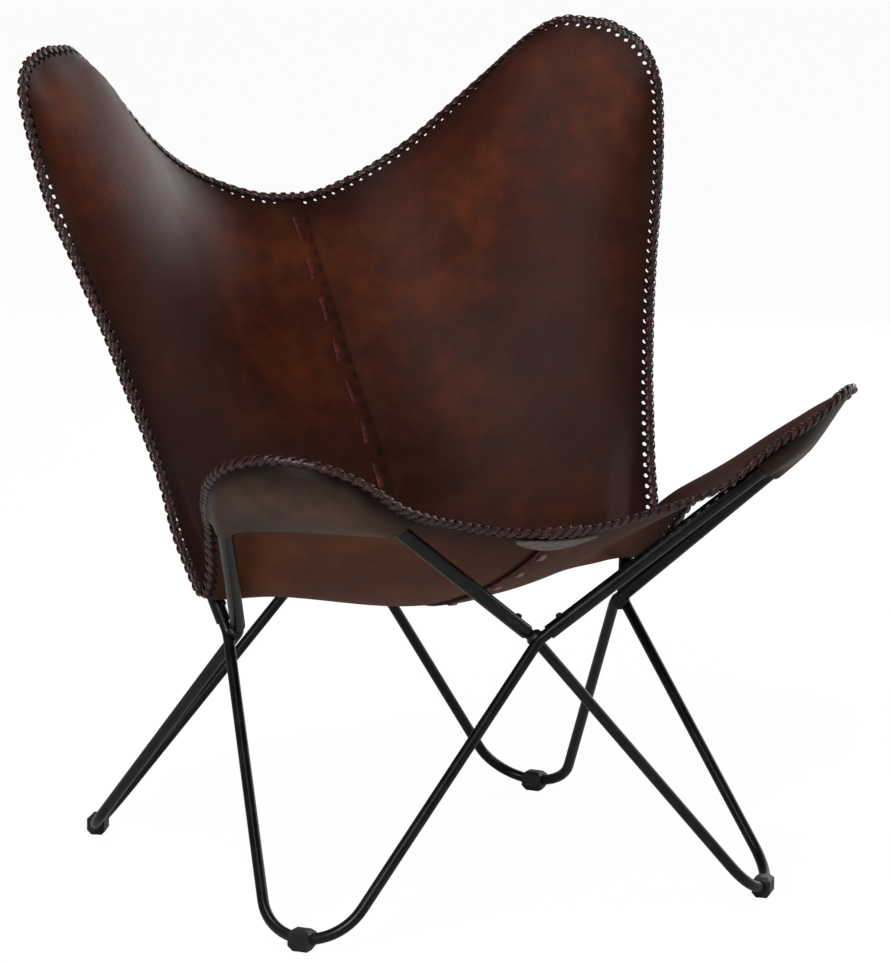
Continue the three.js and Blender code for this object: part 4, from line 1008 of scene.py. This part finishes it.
def half_sling(side):
    half = Half()
    sign = SIGN[side]
    cut = inset_line(side, LACE_OVERHANG)
    middle = inset_line(side, LACE_OVERHANG + HOLE_FROM_CUT)
    inner = inset_line(side, LACE_OVERHANG + STRIP_WIDTH)
    grid = np.zeros((COLUMNS + 1, ROWS + 1, 2))
    grid[:, 0] = inner[: COLUMNS + 1]
    grid[-1, :] = inner[COLUMNS : COLUMNS + ROWS + 1]
    grid[:, -1] = inner[COLUMNS + ROWS :][::-1]
    samples = np.linspace(0, 1, LAP_SAMPLES)[:, None]
    line = grid[0, 0] * (1 - samples) + grid[0, -1] * samples
    points = on_plate(line[:, 0], line[:, 1])
    lengths = lengths_along(points)
    share = np.interp(np.linspace(0, lengths[-1], ROWS + 1), lengths, samples[:, 0])
    grid[0] = grid[0, 0] * (1 - share[:, None]) + grid[0, -1] * share[:, None]
    grid = relax(grid, COLUMNS, ROWS)

    flat = np.vstack([grid.reshape(-1, 2), cut, middle])
    places = on_plate(flat[:, 0], flat[:, 1])
    normals = plate_normal(flat[:, 0], flat[:, 1])
    half.pocket = np.pad(pocket_share(side, half_steps[side]), 2) * POCKET_LAYER
    count = grid.shape[0] * grid.shape[1]
    clear = np.full(len(flat), LEATHER_CLEAR)
    clear[count:] = PLAIT_CLEAR + np.tile(half.pocket, 2)
    lines = [loops["back_" + side].line, loops["arm_" + side].line]
    places = lift_clear(places, normals, clear, lines)
    inside = np.arange(count).reshape(COLUMNS + 1, ROWS + 1)
    outer = count + np.arange(AROUND + 1)
    row = count + AROUND + 1 + np.arange(AROUND + 1)
    ring = np.concatenate([inside[:, 0], inside[-1, 1:], inside[::-1, -1][1:]])
    half.cut = places[outer]
    half.inner = places[ring]
    half.normals = normals[outer]
    half.flat_x = flat[outer][:, 0]

    along = unit(np.roll(places[row], -1, axis=0) - np.roll(places[row], 1, axis=0))
    inward = unit(half.inner - half.cut)
    holes, hole_normals = [], []
    spokes = [(-1, -1), (0, -1), (1, -1), (1, 0), (1, 1), (0, 1), (-1, 1), (-1, 0)]
    first_hole = len(places)
    faces = grid_faces(inside)
    for b in range(1, AROUND, 2):
        base = first_hole + len(holes)
        for a, d in spokes:
            way = along[b] * a + inward[b] * d
            holes.append(places[row[b]] + unit(way) * HOLE_RADIUS)
            hole_normals.append(normals[row[b]])
        around = [outer[b - 1], outer[b], outer[b + 1], row[b + 1]]
        around += [ring[b + 1], ring[b], ring[b - 1], row[b - 1]]
        for k in range(len(spokes)):
            n = (k + 1) % len(spokes)
            faces.append((around[k], around[n], base + n, base + k))
    places = np.vstack([places, holes])
    normals = np.vstack([normals, hole_normals])
    shift = LAP_SHIFT * lap_share(places[:, 0]) * -sign
    places = places + normals * shift[:, None]

    faces = np.array(faces)
    corners = places[faces]
    facing = np.cross(corners[:, 2] - corners[:, 0], corners[:, 3] - corners[:, 1])
    wrong = (facing * normals[faces[:, 0]]).sum(1) < 0
    faces[wrong] = faces[wrong][:, ::-1]

    used = np.unique(faces)
    renumber = np.zeros(len(places), int)
    renumber[used] = np.arange(len(used))
    half.points = places[used]
    half.faces = renumber[faces]
    border = half.cut[::2]
    gap = np.full(len(used), 1e9)
    for start in range(0, len(border), BATCH):
        some = border[start : start + BATCH]
        square = ((half.points[:, None, :] - some[None]) ** 2).sum(-1)
        gap = np.minimum(gap, np.sqrt(square.min(axis=1)))
    # A darker band towards the cut edge, and a painted shadow along the lap, as point values
    near_edge = np.clip(1 - (gap - EDGE_DARK_FROM) / EDGE_DARK_FADE, 0, 1) ** EDGE_DARK_POWER
    lap_line = places[inside[0]][None, ::4]
    lap_gap = np.linalg.norm(half.points[:, None] - lap_line, axis=2).min(axis=1)
    nearest, most = LAP_SHADOW_SHARES
    half.burnish = np.maximum(near_edge, np.clip(nearest - lap_gap / LAP_SHADOW_FADE, 0, most))
    across = np.linalg.norm(np.diff(places[inside], axis=0), axis=2).sum(axis=0)
    lengthways = np.linalg.norm(np.diff(places[inside], axis=1), axis=2).sum(axis=1)
    half.size = (across.max() + STRIP_WIDTH, lengthways.max() + 2 * STRIP_WIDTH)
    return half


halves = {side: half_sling(side) for side in SIGN}


for side, half in halves.items():
    panel = mesh_piece(
        "panel_" + side, half.points, half.faces.tolist(), SLING_LEATHER, FLESH_LEATHER
    )
    burnish(panel, half.burnish)
    apply_modifier(
        panel,
        "SOLIDIFY",
        thickness=LEATHER_THICKNESS * MM,
        offset=0,
        material_offset=1,
        material_offset_rim=0,
    )
    smooth(panel, 50)
    stand_for(panel, "panel_leather", "sling_panel_" + side)


# Plaited edge. A place on it is s along the border, in holes, and q round the cut edge, in
# millimetres from the crest, on top where q is positive.

ring_parts = []
for side in ("right", "left"):
    half = halves[side]
    inside = slice(2, AROUND - 1)
    inward = unit(half.inner - half.cut)
    stack = lap_share(half.flat_x)
    rows = np.column_stack([half.cut, inward, half.normals, stack, half.pocket])[inside]
    ring_parts.append(rows if side == "right" else rows[::-1][1:-1])
ring = np.vstack(ring_parts)
HOLES = len(ring) // 2


def ring_at(s):
    """Cut edge, way in, way up, lap share and pocket layer at places along the border."""
    place = (np.asarray(s) * 2) % len(ring)
    low = np.floor(place).astype(int)
    f = (place - low)[..., None]
    rows = ring[low % len(ring)] * (1 - f) + ring[(low + 1) % len(ring)] * f
    return rows[..., :3], unit(rows[..., 3:6]), unit(rows[..., 6:9]), rows[..., 9], rows[..., 10]


def on_plait(s, q, lift):
    """Points at a lift over the edge's round, and the way out there."""
    origin, inward, upward, lap, layer = ring_at(s)
    round_one = LEATHER_THICKNESS / 2 + STRAND_SEAT
    radius = round_one + LAP_SHIFT * lap + layer / 2
    bent = np.clip(q / round_one, -math.pi / 2, math.pi / 2)
    past = np.maximum(np.abs(q) - math.pi / 2 * round_one, 0)
    out = -inward * np.cos(bent)[..., None] + upward * np.sin(bent)[..., None]
    place = origin - upward * (layer / 2)[..., None]
    place = place + inward * past[..., None] + out * (radius + lift)[..., None]
    return place, out


def past_crest(distance):
    """q of a place on top at a distance inside the cut edge, where no lap thickens it."""
    return math.pi / 2 * (LEATHER_THICKNESS / 2 + STRAND_SEAT) + distance


STRAND_SECTION = [(-1, 0), (-0.62, 0.8), (0, 1), (0.62, 0.8), (1, 0), (0, -0.8)]


def strand(s, q, lift, width):
    """Points and faces of one short strand along the places given."""
    place, out = on_plait(s, q, lift)
    way = unit(np.gradient(place, axis=0))
    across = unit(np.cross(way, out))
    out = unit(np.cross(across, way))
    half = (width / 2)[:, None]
    thick = STRAND_THICKNESS / 2
    points = [place + across * (a * half) + out * (b * thick) for a, b in STRAND_SECTION]
    points = np.stack(points, axis=1).reshape(-1, 3)
    return points, ribbon_faces(len(s), len(STRAND_SECTION))


def join_shells(name, shells, *materials):
    points, faces, count = [], [], 0
    for some_points, some_faces in shells:
        points.append(some_points)
        faces += [tuple(i + count for i in face) for face in some_faces]
        count += len(some_points)
    return mesh_piece(name, np.vstack(points), faces, *materials)


def swollen(shares, wave):
    """The share at a strand's ends, and more by the wave."""
    return shares[0] + shares[1] * wave


def plait_strands():
    draw = random.Random(7)
    shells = []
    turn = np.linspace(0, 1, STRAND_RINGS)
    wave = np.sin(turn * math.pi)
    root, tip = past_crest(STRAND_ROOT), past_crest(STRAND_TIP)
    dive = STRAND_DIVE * np.maximum(STRAND_DIVE_SHARE - turn, 0) / STRAND_DIVE_SHARE
    over = np.linspace(0, 1, CREST_RINGS)
    rise = np.sin(over * math.pi)
    for k in range(HOLES):
        play = draw.uniform(*STRAND_PLAYS)
        slant = draw.uniform(*STRAND_SLANTS)
        width = STRAND_WIDTH * draw.uniform(*STRAND_WIDTHS)
        taper = width * swollen(STRAND_WIDTH_SHARES, wave)
        hole = k + 0.5
        for face in (1, -1):
            s = hole + play + slant * turn
            q = face * (root + (tip - root) * turn)
            lift = STRAND_THICKNESS * swollen(STRAND_LIFT_SHARES, wave) - dive
            shells.append(strand(s, q, lift, taper))
        s = hole + 0.5 + play - CREST_SLANT * over
        q = past_crest(CREST_ROOT) * (1 - 2 * over)
        lift = STRAND_THICKNESS * swollen(CREST_LIFT_SHARES, rise)
        shells.append(strand(s, q, lift, width * swollen(CREST_WIDTH_SHARES, rise)))
    return shells


def plait_lining():
    """The strands' hidden turns under the plait, as one dark lining along the cut edge."""
    q = np.linspace(past_crest(LINING_ROOT), -past_crest(LINING_ROOT), LINING_COLUMNS)
    steps = np.arange(0, HOLES, 0.5)
    points = []
    for s in steps:
        spot = np.full(len(q), s)
        outer, _ = on_plait(spot, q, np.full(len(q), LINING_LIFT))
        inner, _ = on_plait(spot, q, np.full(len(q), -STRAND_SEAT + LINING_CLEAR))
        points.append(np.vstack([outer, inner[::-1]]))
    return np.vstack(points), ribbon_faces(len(steps), 2 * len(q), closed=True)


plait = join_shells("plaited_edge", plait_strands(), PLAIT_LEATHER)
face_outward(plait)
smooth(plait, 70)
lining = mesh_piece("plait_lining", *plait_lining(), PLAIT_LEATHER)
face_outward(lining)
smooth(lining, 60)
stand_for(plait, "plait_leather", "edge_lacing")
stand_for(lining, "plait_leather", "edge_lacing")


# Lace of the middle seam, over and under both panels: its section, and the sides of it that
# are the thong's flesh side

LACE_SECTION = [(-1, 0), (-0.8, 0.8), (0, 1), (0.8, 0.8), (1, 0), (0.8, -0.8), (0, -1), (-0.8, -0.8)]
LACE_SIDES = len(LACE_SECTION)
LACE_UNDER = (4, 5, 6, 7)


def seam_lace():
    ends = [inside_edge("right", np.array([t]), LACE_OVERHANG)[0, 1] for t in (0.0, float(LAST))]
    w = np.linspace(*ends, SEAM_SAMPLES)
    x = np.zeros_like(w)
    middle, ways = on_plate(x, w), plate_normal(x, w)
    lengths = lengths_along(middle)
    total = lengths[-1]
    high = LAP_SHIFT + LEATHER_THICKNESS / 2 + SEAM_LACE_THICKNESS / 2 + SEAM_LACE_CLEAR
    stops, heights, slants = [], [], []
    draw = random.Random(3)
    s = SEAM_END_INSET
    end = total - SEAM_END_INSET
    while s < end - SEAM_STITCH:
        lean = draw.uniform(-SEAM_LEAN, SEAM_LEAN)
        stops += [s, s + SEAM_SHOULDER, s + SEAM_STITCH - SEAM_SHOULDER, s + SEAM_STITCH]
        heights += [high, high + SEAM_ARCH, high + SEAM_ARCH, high]
        slants += [-lean, -lean * SEAM_SHOULDER_SHARE, lean * SEAM_SHOULDER_SHARE, lean]
        if s + SEAM_PITCH < end - SEAM_STITCH:
            under = SEAM_PITCH - SEAM_STITCH
            for share in (0.5 * SEAM_DIVE / under, 1 - 0.5 * SEAM_DIVE / under):
                stops.append(s + SEAM_STITCH + under * share)
                heights.append(0.0)
                slants.append(0.0)
            stops[-1:-1] = [s + SEAM_STITCH + SEAM_DIVE, s + SEAM_PITCH - SEAM_DIVE]
            heights[-1:-1] = [-high, -high]
            slants[-1:-1] = [0.0, 0.0]
        s += SEAM_PITCH
    spots = np.arange(stops[0], stops[-1] + 1e-6, SEAM_STEP)
    lift = np.interp(spots, stops, heights)
    lean = np.interp(spots, stops, slants)
    for _ in range(2):
        lift[1:-1] = (lift[:-2] + 2 * lift[1:-1] + lift[2:]) / 4
    at = np.stack([np.interp(spots, lengths, middle[:, i]) for i in range(3)], axis=1)
    way = unit(np.stack([np.interp(spots, lengths, ways[:, i]) for i in range(3)], axis=1))
    side = np.array([1.0, 0.0, 0.0])
    path = at + way * lift[:, None] + side * lean[:, None]
    along = unit(np.gradient(path, axis=0))
    up = unit(np.cross(side, along))
    up = up * np.sign((up * way).sum(1))[:, None]
    half, thick = SEAM_LACE_WIDTH / 2, SEAM_LACE_THICKNESS / 2
    points = np.stack(
        [path + side * (a * half) + up * (b * thick) for a, b in LACE_SECTION], axis=1
    ).reshape(-1, 3)
    return points, ribbon_faces(len(spots), LACE_SIDES)


lace = mesh_piece("running_lace", *seam_lace(), LACE_LEATHER, LACE_FLESH)
for face in lace.data.polygons[:-2]:
    if face.index % LACE_SIDES in LACE_UNDER:
        face.material_index = 1
face_outward(lace)
smooth(lace, 60)
stand_for(lace, "lace_leather", "seam_lace")


# Pockets: laced in with the edge, drawn tight round the loop's bend, with a straight mouth
# under its legs


def keep_off(points, line, clear):
    """Pushes points out of the round of a tube."""
    best = np.full(points.shape[:-1], 1e9)
    nearest = np.zeros_like(points)
    for a, b in zip(line[:-1], line[1:]):
        way = b - a
        share = np.clip((points - a) @ way / (way @ way), 0, 1)
        spot = a + share[..., None] * way
        gap = np.linalg.norm(points - spot, axis=-1)
        closer = gap < best
        best = np.where(closer, gap, best)
        nearest = np.where(closer[..., None], spot, nearest)
    out = (points - nearest) / np.maximum(best, 1e-6)[..., None]
    return np.where((best < clear)[..., None], nearest + out * clear, points)


def pocket(where, side):
    loop = loops[f"{where}_{side}"]
    start, end = POCKET_ENDS[where][side]
    t = evenly(side, start, end, POCKET_COLUMNS)
    from_cut = POCKET_FROM_CUT[where]
    flat = inside_edge(side, t, LACE_OVERHANG + from_cut)
    normals = plate_normal(flat[:, 0], flat[:, 1])
    rim = on_plate(flat[:, 0], flat[:, 1])
    lines = [loops["back_" + side].line, loops["arm_" + side].line]
    rim_clear = PLAIT_CLEAR + POCKET_LAYER if where == "arm" else LEATHER_CLEAR
    rim = lift_clear(rim, normals, np.full(len(rim), rim_clear), lines)
    deeper = inside_edge(side, t, LACE_OVERHANG + from_cut + HOLE_FROM_CUT)
    outward = unit(rim - on_plate(deeper[:, 0], deeper[:, 1]))
    rim = rim - normals * (LEATHER_THICKNESS / 2 + POCKET_LAYER - POCKET_THICKNESS / 2)
    clear = TUBE_DIAMETER / 2 + POCKET_THICKNESS / 2 + POCKET_CLEAR
    rim = keep_off(rim, loop.line, clear)
    down = -loop.plane

    share = np.linspace(0, 1, POCKET_COLUMNS + 1)[:, None]
    arch = np.sin(share * math.pi)
    mouth = rim[0] * (1 - share) + rim[-1] * share + down * POCKET_MOUTH_DROP * arch
    for _ in range(EVEN_PASSES):
        mouth[1:-1] = (mouth[:-2] + mouth[2:]) / 2
        mouth = keep_off(mouth, loop.line, clear)
        mouth[0], mouth[-1] = rim[0], rim[-1]
    mouth = mouth + down * POCKET_SAG * arch

    v = np.linspace(0, 1, POCKET_ROWS + 1)[None, :, None]
    bow = np.sin(v * math.pi) ** 0.5 * arch[:, None] ** 0.5
    grid = rim[:, None] * (1 - v) + mouth[:, None] * v + down * POCKET_DOWN * bow
    grid = grid + outward[:, None] * (POCKET_OUT * bow * (1 - v))
    for _ in range(POCKET_PASSES):
        middle = (grid[:-2, 1:-1] + grid[2:, 1:-1] + grid[1:-1, :-2] + grid[1:-1, 2:]) / 4
        grid[1:-1, 1:-1] = middle + down * POCKET_SWELL
        grid[1:-1, 1:-1] = keep_off(grid[1:-1, 1:-1], loop.line, clear)
    points = grid.reshape(-1, 3)
    index = np.arange(len(points)).reshape(POCKET_COLUMNS + 1, POCKET_ROWS + 1)
    name = f"pocket_{where}_{side}_leather"
    piece = mesh_piece(name, points, grid_faces(index), POCKET_LEATHER)
    face_outward(piece, POCKET_MERGE * MM)
    apply_modifier(piece, "SOLIDIFY", thickness=POCKET_THICKNESS * MM, offset=0)
    smooth(piece, 50)
    stand_for(piece, "pocket_leather", f"pocket_{where}_{side}")
    # Painted shade under the plait: the pocket darkens towards its laced rim
    spots = np.empty(len(piece.data.vertices) * 3)
    piece.data.vertices.foreach_get("co", spots)
    spots = spots.reshape(-1, 3) / MM
    gap = np.sqrt(((spots[:, None] - rim[None]) ** 2).sum(-1).min(axis=1))
    burnish(piece, np.clip(RIM_SHADE_SHARE - gap / RIM_SHADE_FADE, 0, 1) ** RIM_SHADE_POWER)


for side in SIGN:
    for where in POCKET_ENDS:
        pocket(where, side)


# Patch under the front end of the seam


def seam_patch():
    reach = np.linspace(-PATCH_REACH, PATCH_REACH, PATCH_COLUMNS + 1)
    rows = PATCH_FROM_CUT + np.linspace(0, PATCH_DEPTH, PATCH_ROWS + 1)
    front = half_steps["right"][:PATCH_EDGE_STEPS]
    line = inside_edge("right", front, LACE_OVERHANG)
    w_at = np.interp(np.abs(reach), line[:, 0], line[:, 1])
    drop = LAP_SHIFT + LEATHER_THICKNESS / 2 + PATCH_THICKNESS / 2 + 2 * PIECE_GAP
    points = []
    for x, w in zip(reach, w_at):
        ends = 1 - PATCH_TAPER_SHARE * (abs(x) / PATCH_REACH) ** 2
        for row in rows:
            spot = np.array([x]), np.array([w + rows[0] + (row - rows[0]) * ends])
            points.append((on_plate(*spot) - plate_normal(*spot) * drop)[0])
    index = np.arange(len(points)).reshape(len(reach), len(rows))
    piece = mesh_piece("seam_patch", points, grid_faces(index), PATCH_LEATHER)
    apply_modifier(piece, "SOLIDIFY", thickness=PATCH_THICKNESS * MM, offset=0)
    smooth(piece, 50)
    stand_for(piece, "patch_leather", "front_seam_patch")


seam_patch()


# Studio: pale floor, white background, soft lamps, and the camera of the photograph

# Place, width, height and power of each lamp, in metres and watts
LAMPS = {
    "key": ((-2.6, -2.7, 2.3), 1.6, 1.6, 84.0),
    "fill": ((2.8, -2.6, 1.6), 2.2, 2.2, 12.0),
    "side": ((3.6, 1.7, 1.7), 5.0, 2.8, 70.0),
    "top": ((-0.9, -0.5, 3.0), 0.5, 0.5, 16.0),
}
LAMP_AIM = Vector((0, 0, 0.5))

# The floor's size and how far it lies under the glides, in metres, then how brightly the
# floor is seen and how much light the room gives from all sides
FLOOR_SIZE = 60
FLOOR_DROP = 0.0005
FLOOR_GLOW = 1.12
FLOOR_GLOW_SHARE = 0.84
SOFT_LIGHT = 0.2

# The camera as fitted to the photo: its place and sensor in millimetres, its turns in
# radians, how far it sees in metres, and the rest in pixels
CAMERA_PLACE = (-2101.2, -4335.7, 1204.6)
CAMERA_TURNS = (-0.4578, 0.1607, 0.0119)
PHOTO_WIDTH, PHOTO_HEIGHT = 890, 965
PHOTO_FOCAL = 4444.3
PHOTO_CENTRE = (443.4, 481.2)
SENSOR = 36
FARTHEST = 100


def studio():
    made, tree = material("pale floor")
    path = add(tree, "LightPath")
    diffuse = add(tree, "BsdfDiffuse", {"Color": linear("e6e5e3")})
    glow = add(tree, "Emission", {"Color": linear("ffffff"), "Strength": FLOOR_GLOW})
    seen = path.outputs["Is Camera Ray"]
    part = add(tree, "Math", {0: seen, 1: FLOOR_GLOW_SHARE}, operation="MULTIPLY")
    shaders = {1: diffuse.outputs[0], 2: glow.outputs[0]}
    mix = add(tree, "MixShader", {0: part.outputs[0], **shaders})
    finish_tree(tree, mix)
    bpy.ops.object.select_all(action="DESELECT")
    bpy.ops.mesh.primitive_plane_add(size=FLOOR_SIZE, location=(0, 0, -FLOOR_DROP))
    floor = bpy.context.object
    floor.name = "floor"
    floor.data.materials.append(made)

    world = bpy.data.worlds.new("studio")
    bpy.context.scene.world = world
    world.use_nodes = True
    tree = world.node_tree
    tree.nodes.clear()
    path = add(tree, "LightPath")
    seen = add(
        tree,
        "Math",
        {0: path.outputs["Is Camera Ray"], 1: path.outputs["Is Transmission Ray"]},
        operation="MAXIMUM",
    )
    soft = add(tree, "Background", {"Color": linear("f4f4f6"), "Strength": SOFT_LIGHT})
    white = add(tree, "Background", {"Color": linear("ffffff"), "Strength": 1.0})
    mix = add(tree, "MixShader", {0: seen.outputs[0], 1: soft.outputs[0], 2: white.outputs[0]})
    finish_tree(tree, mix, "OutputWorld")

    for name, (place, width, height, power) in LAMPS.items():
        light = bpy.data.lights.new(name, "AREA")
        light.shape = "RECTANGLE"
        light.size = width
        light.size_y = height
        light.energy = power
        lamp = bpy.data.objects.new(name, light)
        lamp.location = place
        aim = LAMP_AIM - lamp.location
        lamp.rotation_euler = aim.to_track_quat("-Z", "Y").to_euler()
        bpy.context.scene.collection.objects.link(lamp)
    bpy.context.scene.view_settings.view_transform = "Standard"


def camera():
    yaw, pitch, roll = CAMERA_TURNS
    back = Vector(
        (math.sin(yaw) * math.cos(pitch), -math.cos(yaw) * math.cos(pitch), math.sin(pitch))
    )
    right = Vector((math.cos(yaw), math.sin(yaw), 0))
    up = back.cross(right)
    turned = right * math.cos(roll) + up * math.sin(roll)
    upright = up * math.cos(roll) - right * math.sin(roll)
    lens = bpy.data.cameras.new("photo camera")
    lens.sensor_width = SENSOR
    lens.lens = PHOTO_FOCAL * SENSOR / PHOTO_HEIGHT
    lens.shift_x = (PHOTO_WIDTH / 2 - PHOTO_CENTRE[0]) / PHOTO_HEIGHT
    lens.shift_y = (PHOTO_CENTRE[1] - PHOTO_HEIGHT / 2) / PHOTO_HEIGHT
    lens.clip_end = FARTHEST
    eye = bpy.data.objects.new("photo camera", lens)
    pose = Matrix((turned, upright, back)).transposed().to_4x4()
    pose.translation = Vector(CAMERA_PLACE) * MM
    eye.matrix_world = pose
    bpy.context.scene.collection.objects.link(eye)
    bpy.context.scene.camera = eye


studio()
camera()

bpy.context.view_layer.update()
